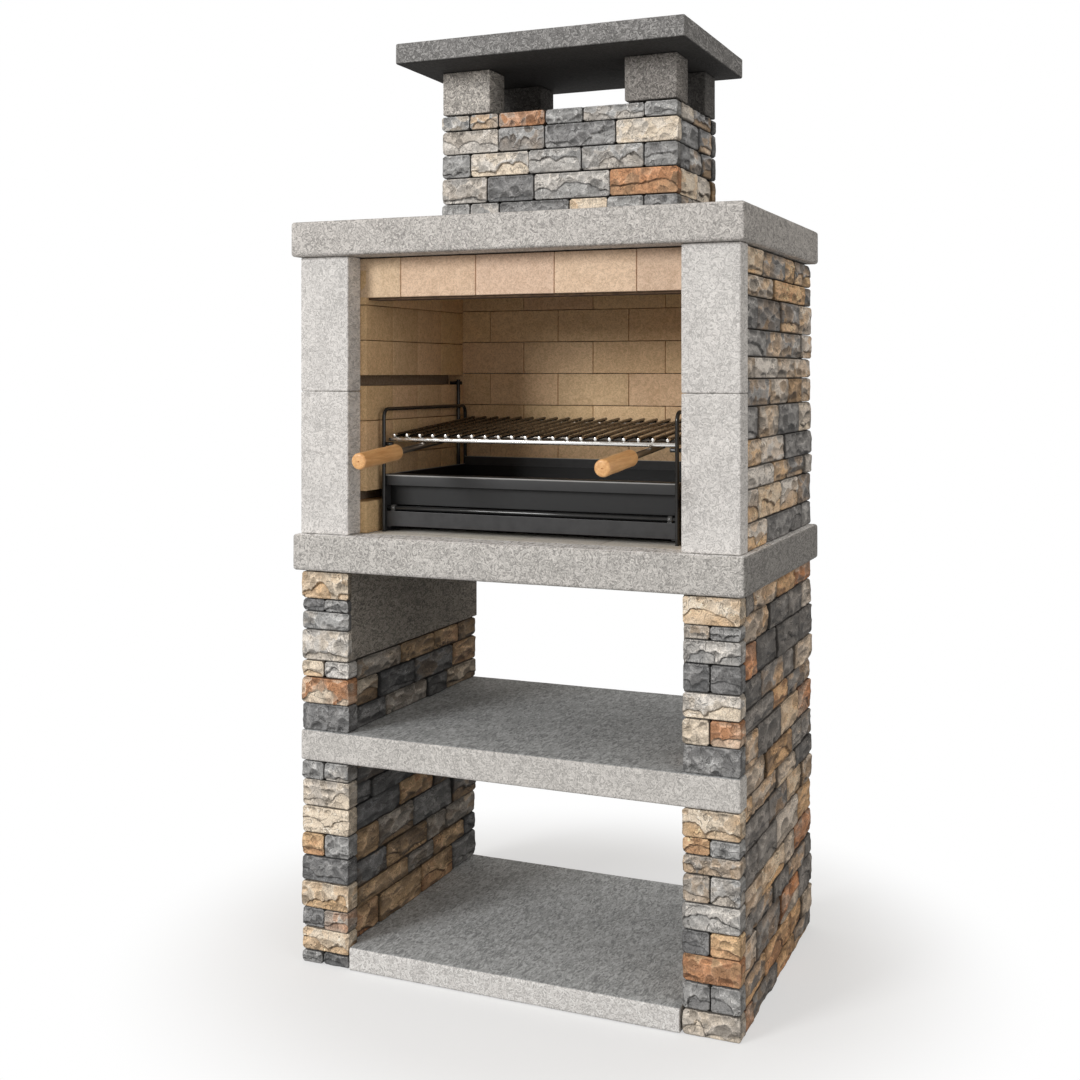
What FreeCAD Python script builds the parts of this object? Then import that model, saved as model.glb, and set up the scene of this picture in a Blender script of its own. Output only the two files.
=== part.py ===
import FreeCAD
import Part
import math
import os

from FreeCAD import Vector

# Masonry barbecue, in millimetres. +X is to the right of a person standing in front of it, +Y runs to the back
# and +Z is up. The origin is on the ground under the middle of the body.

# Body and slabs
BODY_WIDTH = 896.0
BODY_DEPTH = 583.0
LEG_WIDTH = 109.0
BASE_SLAB_THICKNESS = 45.0
LOWER_LEG_HEIGHT = 401.0
SHELF_THICKNESS = 60.0
UPPER_LEG_HEIGHT = 317.0
HEARTH_THICKNESS = 72.0
HEARTH_SIDE_OVERHANG = 11.0
HEARTH_FRONT_OVERHANG = 14.0
FIREBOX_HEIGHT = 547.0
MANTEL_THICKNESS = 69.0
MANTEL_SIDE_OVERHANG = 12.0
MANTEL_FRONT_OVERHANG = 19.0
SLAB_CORNER = 8.0
SLAB_EASE = 6.0
SHELF_EASE = 4.0
BEARER_HEIGHT = 176.0
BEARER_SETBACK = 15.0

# Stone cladding
VENEER = 22.0
QUOIN_DEPTH = 40.0
CHIMNEY_VENEER = 30.0
STONE_COURSE = 52.0
STONE_GAP = 3.0
STONE_EASE = 4.0
STONE_SETBACKS = (0.0, 3.0, 1.0, 4.0, 2.0)

# Firebox
JAMB_DEPTH = 50.0
JAMB_EASE = 4.0
LOWER_JAMB_HEIGHT = 282.0
BACK_WALL = 58.0
LINING_THICKNESS = 40.0
LINING_PROUD = 12.0
BRICK_COURSE = 70.0
BRICK_GAP = 2.0
SIDE_FIRST_COURSE = 64.0
SIDE_COURSES_BETWEEN_GROOVES = 3
SIDE_BRICKS_PER_COURSE = 4
GROOVE_HEIGHT = 20.0
BACK_FIRST_COURSE = 38.0
BACK_BRICK_LENGTH = 165.0
BACK_BOND_FIRST = 67.0
LINTEL_HEIGHT = 80.0
LINTEL_DEPTH = 50.0
LINTEL_BRICK_LENGTH = 163.0
LINTEL_BOND_FIRST = 89.0
LINTEL_ANGLE_LEG = 44.0
LINTEL_ANGLE_STEEL = 4.0
FLOOR_TILE = 22.0
FLOOR_TILE_COLUMNS = 4
FLOOR_TILE_ROWS = 3

# Chimney
CHIMNEY_WIDTH = 517.0
CHIMNEY_DEPTH = 275.0
CHIMNEY_HEIGHT = 239.0
CHIMNEY_SETBACK = 239.0
FLUE_WALL = 35.0
POST_WIDTH = 109.0
REAR_CAP_POST_WIDTH = 140.0
POST_DEPTH = 74.0
POST_HEIGHT = 89.0
POST_INSET = 3.0
POST_EASE = 3.0
CAP_FRONT_OVERHANG = 109.0
CAP_BACK_OVERHANG = 31.0
CAP_SIDE_OVERHANG = 48.0
CAP_THICKNESS = 43.0
CAP_EASE = 4.0

# Brazier, with heights above the hearth
SET_LEFT_CLEARANCE = 13.0
SET_RIGHT_CLEARANCE = 24.0
SET_REAR_CLEARANCE = 15.0
BRAZIER_SETBACK = 100.0
SHEET = 2.0
SIDE_PLATE_HEIGHT = 115.0
BACK_PLATE_RISE = 17.0
FRONT_RAIL_HEIGHT = 22.0
TRAY_RECESS = 22.0
TRAY_FLOOR_HEIGHT = 52.0
TRAY_LEDGE = 16.0
GRATE_THICKNESS = 3.0
GRATE_SLOT = 10.0
GRATE_SLOTS = 15
GRATE_MARGIN = 30.0
DRAWER_LIFT = 11.0
DRAWER_FRONT_HEIGHT = 30.0
DRAWER_REAR_CLEARANCE = 30.0
DRAWER_SIDE_CLEARANCE = 1.0
RUNNER_LEG = 12.0
PULL_ROD = 9.0
PULL_ROD_GAP = 1.0
COLLAR_DIAMETER = 14.0
COLLAR_LENGTH = 9.0
COLLAR_INSET = 10.0

# Grill frames and grill, with heights above the hearth
THIN_ROD_SIDES = 12
FRAME_ROD = 8.0
FRAME_TOP = 245.0
FRAME_BEND = 16.0
REAR_POST_ROD = 8.0
REAR_POST_FROM_BACK = 14.0
PIN_IN_GROOVE = 18.0
GRILL_SETBACK = 108.0
GRILL_HEIGHT = 185.0
GRILL_TILT = 4.0
GRILL_SIDE_CLEARANCE = 2.0
GRILL_REAR_CLEARANCE = 15.0
GRILL_RING_ROD = 10.0
GRILL_BAR_ROD = 7.0
GRILL_BARS = 21
GRILL_BAR_END = 6.0
GRILL_BAR_MARGIN = 14.0
PEG_REACH = 16.0
PEG_STUB = 7.0
ARM_ROD = 12.0
ARM_TANG = 7.0
ARM_FROM_LEFT = 79.0
ARM_FROM_RIGHT = 49.0
ARM_UNDER_GRILL = 70.0
ARM_FREE = 114.0
GRIP_DIAMETER = 31.0
GRIP_LENGTH = 145.0
GRIP_EASE = 4.0
GRIP_HOLE = 2.0
SLIDING_GAP = 0.4
BORE_GAP = 0.1

# Courses of the front stones from the top down: the share of the height, then the shares of the width
# from left to right.
LEFT_UPPER_QUOINS = (
    (56, (1,)),
    (25, (9, 10)),
    (36, (1,)),
    (61, (1,)),
    (33, (9, 10)),
    (52, (1,)),
    (54, (1,)),
)
LEFT_LOWER_QUOINS = (
    (37, (9, 10)),
    (53, (1,)),
    (53, (1,)),
    (45, (9, 10)),
    (50, (1,)),
    (53, (1,)),
    (40, (9, 10)),
    (45, (1,)),
    (25, (8, 10)),
)
RIGHT_UPPER_QUOINS = (
    (53, (1,)),
    (26, (9, 10)),
    (42, (1,)),
    (51, (9, 10)),
    (46, (1,)),
    (47, (9, 10)),
    (52, (1,)),
)
RIGHT_LOWER_QUOINS = (
    (51, (1,)),
    (31, (9, 10)),
    (34, (1,)),
    (50, (9, 10)),
    (48, (1,)),
    (43, (9, 10)),
    (50, (1,)),
    (48, (9, 10)),
    (46, (1,)),
)
CHIMNEY_FRONT = (
    (33, (12, 12, 19, 15, 24, 13)),
    (49, (24, 19, 28, 24)),
    (49, (12, 24, 21, 24, 13)),
    (54, (19, 19, 30, 26)),
    (54, (12, 12, 28, 15, 14, 13)),
)
CHIMNEY_SIDE = (
    (33, (4, 6)),
    (49, (6, 4)),
    (49, (3, 4, 3)),
    (54, (6, 5)),
    (54, (4, 3, 4)),
)

# Bond of the other walls: relative heights of the courses and relative lengths of the stones in a course.
COURSE_SHARES = (5, 4, 6, 5, 4, 5, 6)
BOND = (
    (4, 6, 3, 5),
    (7, 4, 5, 2),
    (3, 6, 5, 4),
    (5, 7, 3, 3),
    (2, 6, 5, 5),
    (6, 5, 4, 3),
    (3, 5, 6, 4),
)

# Levels and faces that follow from the sizes
SHELF_BOTTOM = LOWER_LEG_HEIGHT
SHELF_TOP = SHELF_BOTTOM + SHELF_THICKNESS
HEARTH_BOTTOM = SHELF_TOP + UPPER_LEG_HEIGHT
HEARTH_TOP = HEARTH_BOTTOM + HEARTH_THICKNESS
MANTEL_BOTTOM = HEARTH_TOP + FIREBOX_HEIGHT
MANTEL_TOP = MANTEL_BOTTOM + MANTEL_THICKNESS
CHIMNEY_TOP = MANTEL_TOP + CHIMNEY_HEIGHT
CAP_BOTTOM = CHIMNEY_TOP + POST_HEIGHT
BEARER_BOTTOM = HEARTH_BOTTOM - BEARER_HEIGHT
LINTEL_BOTTOM = MANTEL_BOTTOM - LINTEL_HEIGHT

FRONT = -BODY_DEPTH / 2
BACK = BODY_DEPTH / 2
SIDE = BODY_WIDTH / 2
CORE_SIDE = SIDE - VENEER
LEG_INSIDE = SIDE - LEG_WIDTH
LEG_CORE_INSIDE = LEG_INSIDE + VENEER
LINING_FACE = LEG_INSIDE - LINING_PROUD
LINING_BACK = LINING_FACE + LINING_THICKNESS
JAMB_BACK = FRONT + JAMB_DEPTH
BACK_WALL_FACE = BACK - BACK_WALL
BACK_LINING_FACE = BACK_WALL_FACE - LINING_THICKNESS
LOWER_GROOVE_TOP = HEARTH_TOP + SIDE_FIRST_COURSE + GROOVE_HEIGHT
UPPER_GROOVE_FLOOR = LOWER_GROOVE_TOP + SIDE_COURSES_BETWEEN_GROOVES * BRICK_COURSE

CHIMNEY_FRONT_Y = FRONT + CHIMNEY_SETBACK
CHIMNEY_BACK_Y = CHIMNEY_FRONT_Y + CHIMNEY_DEPTH
CHIMNEY_X = CHIMNEY_WIDTH / 2
FLUE_X = CHIMNEY_X - CHIMNEY_VENEER - FLUE_WALL
FLUE_FRONT_Y = CHIMNEY_FRONT_Y + CHIMNEY_VENEER + FLUE_WALL
FLUE_BACK_Y = CHIMNEY_BACK_Y - CHIMNEY_VENEER - FLUE_WALL

SET_LEFT = -LINING_FACE + SET_LEFT_CLEARANCE
SET_RIGHT = LINING_FACE - SET_RIGHT_CLEARANCE
SET_CENTRE = (SET_LEFT + SET_RIGHT) / 2
BRAZIER_FRONT = FRONT + BRAZIER_SETBACK
BRAZIER_BACK = BACK_LINING_FACE - SET_REAR_CLEARANCE - FRAME_ROD
TRAY_LEFT = SET_LEFT + SHEET
TRAY_RIGHT = SET_RIGHT - SHEET
TRAY_FRONT = BRAZIER_FRONT + TRAY_RECESS
TRAY_BACK = BRAZIER_BACK - SHEET
TRAY_FLOOR = HEARTH_TOP + TRAY_FLOOR_HEIGHT
PLATE_TOP = HEARTH_TOP + SIDE_PLATE_HEIGHT
DRAWER_BOTTOM = HEARTH_TOP + DRAWER_LIFT
DRAWER_TOP = DRAWER_BOTTOM + DRAWER_FRONT_HEIGHT
PULL_ROD_Z = DRAWER_TOP + PULL_ROD_GAP + PULL_ROD / 2
PULL_ROD_Y = BRAZIER_FRONT + SHEET + COLLAR_DIAMETER / 2

GRILL_FRONT = FRONT + GRILL_SETBACK
GRILL_RISE = math.radians(GRILL_TILT)
GRILL_UP = Vector(0, -math.sin(GRILL_RISE), math.cos(GRILL_RISE))
GRILL_RUN = Vector(0, math.cos(GRILL_RISE), math.sin(GRILL_RISE))
GRILL_HALF = (SET_RIGHT - SET_LEFT - SHEET - FRAME_ROD) / 2 - GRILL_SIDE_CLEARANCE
GRILL_ROOM = BACK_LINING_FACE - GRILL_REAR_CLEARANCE - GRILL_RING_ROD / 2 - GRILL_FRONT
GRILL_DEPTH = GRILL_ROOM / math.cos(GRILL_RISE)
PEG_DROP = GRILL_RING_ROD / 2 + SLIDING_GAP + FRAME_ROD / 2


def box(x, y, z):
    """Box between the low and high values given for each axis."""
    return Part.makeBox(x[1] - x[0], y[1] - y[0], z[1] - z[0], Vector(x[0], y[0], z[0]))


def rod(start, end, diameter):
    """Straight round rod between two points."""
    return Part.makeCylinder(diameter / 2, (end - start).Length, start, end - start)


def rod_outline(centre, along, up, diameter):
    """Outline of a thin rod, with flats that touch its round section. One of them faces up."""
    side = along.cross(up).normalize()
    reach = diameter / 2 / math.cos(math.pi / THIN_ROD_SIDES)
    corners = []
    for flat in range(THIN_ROD_SIDES):
        turn = (flat + 0.5) * 2 * math.pi / THIN_ROD_SIDES
        corners.append(centre + up * (reach * math.cos(turn)) + side * (reach * math.sin(turn)))
    return Part.Face(Part.makePolygon(corners + corners[:1]))


def thin_rod(start, end, diameter, up):
    """Straight thin rod between two points."""
    return rod_outline(start, end - start, up, diameter).extrude(end - start)


def bent_rod(points, bend, diameter, up):
    """Thin rod through the points with its corners bent to a radius."""
    path = []
    start = points[0]
    for before, corner, after in zip(points, points[1:], points[2:]):
        back = (before - corner).normalize()
        ahead = (after - corner).normalize()
        half = back.getAngle(ahead) / 2
        reach = bend / math.tan(half)
        crown = corner + (back + ahead).normalize() * (bend / math.sin(half) - bend)
        path.append(Part.makeLine(start, corner + back * reach))
        path.append(Part.Arc(corner + back * reach, crown, corner + ahead * reach).toShape())
        start = corner + ahead * reach
    path.append(Part.makeLine(start, points[-1]))
    return Part.Wire(path).makePipe(rod_outline(points[0], points[1] - points[0], up, diameter))


def edges_on(shape, axis, value):
    """Edges of a shape that lie in the plane where the axis has the value."""
    return [edge for edge in shape.Edges if all(abs(v.Point[axis] - value) < 1e-6 for v in edge.Vertexes)]


def eased(shape, size):
    """Shape with all its edges eased."""
    return shape.makeChamfer(size, shape.Edges)


def cast_slab(x, y, z, corner, ease):
    """Cast slab with rounded corners in plan and eased edges above and below."""
    block = box(x, y, z)
    flat = edges_on(block, 2, z[0]) + edges_on(block, 2, z[1])
    upright = [edge for edge in block.Edges if not any(edge.isSame(other) for other in flat)]
    block = block.makeFillet(corner, upright)
    return block.makeChamfer(ease, edges_on(block, 2, z[0]) + edges_on(block, 2, z[1]))


def span(sign, near, far):
    """Low and high X between two distances from the middle, on the left or the right."""
    return (near, far) if sign > 0 else (-far, -near)


def export(name, solids):
    """Write the solids of one node."""
    shape = solids[0] if len(solids) == 1 else Part.makeCompound(solids)
    shape.exportStep("parts/" + name + ".step")


def laid(courses, start, end, floor, top):
    """Start and end, floor and top, and setback of each stone. Only the joints inside a wall have gaps."""
    whole = sum(share for share, lengths in courses)
    stones = []
    level = top
    for row, (share, lengths) in enumerate(courses):
        below = level - (top - floor) * share / whole
        left = start
        for column, length in enumerate(lengths):
            right = left + (end - start) * length / sum(lengths)
            first = left if column == 0 else left + STONE_GAP / 2
            last = right if column == len(lengths) - 1 else right - STONE_GAP / 2
            setback = STONE_SETBACKS[(3 * row + 2 * column) % len(STONE_SETBACKS)]
            stones.append(((first, last), (below, level - STONE_GAP), setback))
            left = right
        level = below
    return stones


def coursed(height, shift):
    """Courses of the plain bond for a wall of this height, starting at a chosen place in the bond."""
    count = max(1, round(height / STONE_COURSE))
    rows = range(shift, shift + count)
    return [(COURSE_SHARES[row % len(COURSE_SHARES)], BOND[row % len(BOND)]) for row in rows]


def split_stone(across, z, depth):
    """Stone on a bed in the XZ plane, narrower at its open face, so that the joints widen outwards."""
    face_x = (across[0] + STONE_EASE, across[1] - STONE_EASE)
    face_z = (z[0] + STONE_EASE, z[1] - STONE_EASE)
    return Part.makeWedge(
        across[0], 0, z[0], face_z[0], face_x[0], across[1], depth, z[1], face_z[1], face_x[1]
    )


def stones_facing_y(courses, sign, bed, face, along, levels):
    """Cladding on a wall that faces the front or the back, from its bed to its open face."""
    stones = []
    for x, z, setback in laid(courses, along[0], along[1], levels[0], levels[1]):
        stone = split_stone(x, z, abs(face - bed) - setback)
        if sign < 0:
            stone = stone.mirror(Vector(), Vector(0, 1, 0))
        stones.append(stone.translated(Vector(0, bed, 0)))
    return stones


def stones_facing_x(courses, sign, bed, face, along, levels):
    """Cladding on a wall that faces left or right: stones laid along X, mirrored to lie along Y."""
    stones = stones_facing_y(courses, sign, bed, face, along, levels)
    return [stone.mirror(Vector(), Vector(1, -1, 0)) for stone in stones]


def bearer(sign):
    """Concrete panel flush with the inner face of an upper leg, under the hearth."""
    x = span(sign, LEG_INSIDE, LEG_CORE_INSIDE)
    return box(x, (FRONT + BEARER_SETBACK, BACK), (BEARER_BOTTOM, HEARTH_BOTTOM))


def build_leg(name, sign, upper_quoins, lower_quoins, shift):
    """Cores, bearer, corner stones and side stones of one leg."""
    core_x = span(sign, LEG_CORE_INSIDE, CORE_SIDE)
    core_y = (FRONT + QUOIN_DEPTH, BACK)
    export(name + "_lower_core", [box(core_x, core_y, (0, SHELF_BOTTOM))])
    export(name + "_upper_core", [box(core_x, core_y, (SHELF_TOP, HEARTH_BOTTOM))])
    export(name + "_bearer", [bearer(sign)])

    width = span(sign, LEG_INSIDE, SIDE)
    lower = stones_facing_y(lower_quoins, -1, core_y[0], FRONT, width, (0, SHELF_BOTTOM))
    upper = stones_facing_y(upper_quoins, -1, core_y[0], FRONT, width, (SHELF_TOP, HEARTH_BOTTOM))
    export(name + "_quoins", lower + [stone.cut(bearer(sign)).Solids[0] for stone in upper])

    outer = stones_facing_x(
        coursed(HEARTH_BOTTOM, shift), sign, sign * CORE_SIDE, sign * SIDE, core_y, (0, HEARTH_BOTTOM)
    )
    export(name + "_outer_stones", outer)

    bed = sign * LEG_CORE_INSIDE
    face = sign * LEG_INSIDE
    low = (BASE_SLAB_THICKNESS, SHELF_BOTTOM)
    high = (SHELF_TOP, BEARER_BOTTOM)
    inner = stones_facing_x(coursed(low[1] - low[0], shift + 2), -sign, bed, face, core_y, low)
    inner += stones_facing_x(coursed(high[1] - high[0], shift + 4), -sign, bed, face, core_y, high)
    export(name + "_inner_stones", inner)


def build_slabs():
    """Base slab, shelf and hearth with the tiles set flush into it."""
    levels = (0, BASE_SLAB_THICKNESS)
    nose = box((-LEG_INSIDE + STONE_GAP, LEG_INSIDE - STONE_GAP), (FRONT, BACK), levels)
    nose = nose.makeChamfer(SHELF_EASE, edges_on(nose, 1, FRONT))
    base = box((-LEG_CORE_INSIDE, LEG_CORE_INSIDE), (FRONT + QUOIN_DEPTH, BACK), levels)
    export("base_slab", [nose.fuse(base).removeSplitter().Solids[0]])

    levels = (SHELF_BOTTOM, SHELF_TOP)
    ears = box((-SIDE, SIDE), (FRONT, FRONT + QUOIN_DEPTH), levels)
    ears = ears.makeChamfer(SHELF_EASE, edges_on(ears, 1, FRONT))
    shelf = box((-CORE_SIDE, CORE_SIDE), (FRONT + QUOIN_DEPTH, BACK), levels)
    export("shelf_slab", [ears.fuse(shelf).removeSplitter().Solids[0]])

    half = SIDE + HEARTH_SIDE_OVERHANG
    slab_y = (FRONT - HEARTH_FRONT_OVERHANG, BACK)
    slab = cast_slab((-half, half), slab_y, (HEARTH_BOTTOM, HEARTH_TOP), SLAB_CORNER, SLAB_EASE)
    bed = (HEARTH_TOP - FLOOR_TILE, HEARTH_TOP)
    pocket = box((-LINING_FACE, LINING_FACE), (JAMB_BACK, BACK_LINING_FACE), bed)
    export("hearth_slab", [slab.cut(pocket)])

    tile_x = 2 * LINING_FACE / FLOOR_TILE_COLUMNS
    tile_y = (BACK_LINING_FACE - JAMB_BACK) / FLOOR_TILE_ROWS
    tiles = []
    for column in range(FLOOR_TILE_COLUMNS):
        for row in range(FLOOR_TILE_ROWS):
            left = -LINING_FACE + column * tile_x + BRICK_GAP / 2
            front = JAMB_BACK + row * tile_y + BRICK_GAP / 2
            tiles.append(box((left, left + tile_x - BRICK_GAP), (front, front + tile_y - BRICK_GAP), bed))
    export("hearth_floor_tiles", tiles)


def side_levels():
    """Floors and tops of the courses in a side lining. The two grooves are left out between them."""
    levels = [(HEARTH_TOP, HEARTH_TOP + SIDE_FIRST_COURSE)]
    level = levels[0][1] + GROOVE_HEIGHT
    for course in range(SIDE_COURSES_BETWEEN_GROOVES):
        levels.append((level, level + BRICK_COURSE))
        level += BRICK_COURSE
    level += GROOVE_HEIGHT
    while level < MANTEL_BOTTOM - BRICK_GAP:
        levels.append((level, min(level + BRICK_COURSE, MANTEL_BOTTOM)))
        level += BRICK_COURSE
    return levels


def brick_row(start, end, first_joint, length):
    """Left and right of each brick in a row whose joints repeat from the first one."""
    joint = first_joint
    while joint - length > start:
        joint -= length
    edges = [start]
    while joint < end - BRICK_GAP:
        if joint > start + BRICK_GAP:
            edges.append(joint)
        joint += length
    edges.append(end)
    return [(left + BRICK_GAP / 2, right - BRICK_GAP / 2) for left, right in zip(edges, edges[1:])]


def build_firebox():
    """Jambs, walls, firebrick lining and lintel."""
    joint = HEARTH_TOP + LOWER_JAMB_HEIGHT
    seat_levels = (LINTEL_BOTTOM - LINTEL_ANGLE_STEEL, MANTEL_BOTTOM)
    lintel_back = JAMB_BACK + LINTEL_DEPTH
    seat = box((-SIDE, SIDE), (JAMB_BACK, lintel_back + LINTEL_ANGLE_STEEL + BRICK_GAP), seat_levels)
    step = (BACK_LINING_FACE - JAMB_BACK) / SIDE_BRICKS_PER_COURSE
    levels = (HEARTH_TOP, MANTEL_BOTTOM)
    for name, sign, shift in (("left", -1, 3), ("right", 1, 0)):
        jamb_x = span(sign, LEG_INSIDE, SIDE)
        jamb_y = (FRONT, JAMB_BACK)
        export(name + "_lower_jamb", [eased(box(jamb_x, jamb_y, (HEARTH_TOP, joint)), JAMB_EASE)])
        export(name + "_upper_jamb", [eased(box(jamb_x, jamb_y, (joint, MANTEL_BOTTOM)), JAMB_EASE)])
        wall_x = span(sign, LINING_BACK, CORE_SIDE)
        export(name + "_firebox_wall", [box(wall_x, (JAMB_BACK, BACK_WALL_FACE), levels)])

        bricks = []
        for floor, top in side_levels():
            for place in range(SIDE_BRICKS_PER_COURSE):
                front = JAMB_BACK + place * step
                y = (front if place == 0 else front + BRICK_GAP / 2, front + step - BRICK_GAP / 2)
                brick = box(span(sign, LINING_FACE, LINING_BACK), y, (floor, top - BRICK_GAP))
                bricks += brick.cut(seat).Solids
        export(name + "_lining_bricks", bricks)

        side_stones = stones_facing_x(
            coursed(FIREBOX_HEIGHT, shift), sign, sign * CORE_SIDE, sign * SIDE, (JAMB_BACK, BACK), levels
        )
        export(name + "_firebox_stones", side_stones)

    export("back_firebox_wall", [box((-CORE_SIDE, CORE_SIDE), (BACK_WALL_FACE, BACK), levels)])
    bricks = []
    floor = HEARTH_TOP
    top = HEARTH_TOP + BACK_FIRST_COURSE
    shifted = False
    while floor < MANTEL_BOTTOM - BRICK_GAP:
        first_joint = -LINING_FACE + BACK_BOND_FIRST + (BACK_BRICK_LENGTH / 2 if shifted else 0)
        for x in brick_row(-LINING_BACK, LINING_BACK, first_joint, BACK_BRICK_LENGTH):
            bricks.append(box(x, (BACK_LINING_FACE, BACK_WALL_FACE), (floor, top - BRICK_GAP)))
        floor = top
        top = min(top + BRICK_COURSE, MANTEL_BOTTOM)
        shifted = not shifted
    export("back_lining_bricks", bricks)

    lintel = []
    first_joint = -LEG_INSIDE + LINTEL_BOND_FIRST
    for x in brick_row(-LINING_BACK, LINING_BACK, first_joint, LINTEL_BRICK_LENGTH):
        lintel.append(box(x, (JAMB_BACK, lintel_back), (LINTEL_BOTTOM, MANTEL_BOTTOM - BRICK_GAP)))
    export("lintel_bricks", lintel)
    outer = lintel_back + LINTEL_ANGLE_STEEL
    angle_x = (-LINING_BACK, LINING_BACK)
    underside = seat_levels[0]
    foot = box(angle_x, (outer - LINTEL_ANGLE_LEG, outer), (underside, LINTEL_BOTTOM))
    web = box(angle_x, (lintel_back, outer), (underside, underside + LINTEL_ANGLE_LEG))
    export("lintel_angle", [foot.fuse(web).removeSplitter().Solids[0]])


def build_chimney():
    """Mantel, flue, chimney stones, posts and cap."""
    half = SIDE + MANTEL_SIDE_OVERHANG
    slab_y = (FRONT - MANTEL_FRONT_OVERHANG, BACK)
    mantel = cast_slab((-half, half), slab_y, (MANTEL_BOTTOM, MANTEL_TOP), SLAB_CORNER, SLAB_EASE)
    flue = box((-FLUE_X, FLUE_X), (FLUE_FRONT_Y, FLUE_BACK_Y), (MANTEL_BOTTOM, CHIMNEY_TOP))
    export("mantel_slab", [mantel.cut(flue)])

    levels = (MANTEL_TOP, CHIMNEY_TOP)
    core_x = CHIMNEY_X - CHIMNEY_VENEER
    core_front = CHIMNEY_FRONT_Y + CHIMNEY_VENEER
    core_back = CHIMNEY_BACK_Y - CHIMNEY_VENEER
    walls = [
        box((-core_x, core_x), (core_front, FLUE_FRONT_Y), levels),
        box((-core_x, core_x), (FLUE_BACK_Y, core_back), levels),
        box((-core_x, -FLUE_X), (FLUE_FRONT_Y, FLUE_BACK_Y), levels),
        box((FLUE_X, core_x), (FLUE_FRONT_Y, FLUE_BACK_Y), levels),
    ]
    export("flue_walls", walls)

    width = (-CHIMNEY_X, CHIMNEY_X)
    depth = (core_front + STONE_GAP, core_back - STONE_GAP)
    front = stones_facing_y(CHIMNEY_FRONT, -1, core_front, CHIMNEY_FRONT_Y, width, levels)
    export("chimney_front_stones", front)
    back = stones_facing_y(CHIMNEY_FRONT, 1, core_back, CHIMNEY_BACK_Y, width, levels)
    export("chimney_back_stones", back)
    left = stones_facing_x(CHIMNEY_SIDE, -1, -core_x, -CHIMNEY_X, depth, levels)
    export("chimney_left_stones", left)
    right = stones_facing_x(CHIMNEY_SIDE, 1, core_x, CHIMNEY_X, depth, levels)
    export("chimney_right_stones", right)

    outer = CHIMNEY_X - POST_INSET
    front_face = CHIMNEY_FRONT_Y + POST_INSET
    rear_face = CHIMNEY_BACK_Y - POST_INSET
    rows = {
        "front": (POST_WIDTH, (front_face, front_face + POST_DEPTH)),
        "rear": (REAR_CAP_POST_WIDTH, (rear_face - POST_DEPTH, rear_face)),
    }
    for row, (post_width, y) in rows.items():
        for name, sign in (("left", -1), ("right", 1)):
            post = box(span(sign, outer - post_width, outer), y, (CHIMNEY_TOP, CAP_BOTTOM))
            export(row + "_" + name + "_cap_post", [eased(post, POST_EASE)])
    cap_x = CHIMNEY_X + CAP_SIDE_OVERHANG
    cap_y = (CHIMNEY_FRONT_Y - CAP_FRONT_OVERHANG, CHIMNEY_BACK_Y + CAP_BACK_OVERHANG)
    cap_z = (CAP_BOTTOM, CAP_BOTTOM + CAP_THICKNESS)
    export("chimney_cap", [eased(box((-cap_x, cap_x), cap_y, cap_z), CAP_EASE)])


def open_pan(x, y, z):
    """Sheet-steel pan with four walls and a floor."""
    inside = box((x[0] + SHEET, x[1] - SHEET), (y[0] + SHEET, y[1] - SHEET), (z[0] + SHEET, z[1]))
    return box(x, y, z).cut(inside)


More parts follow.
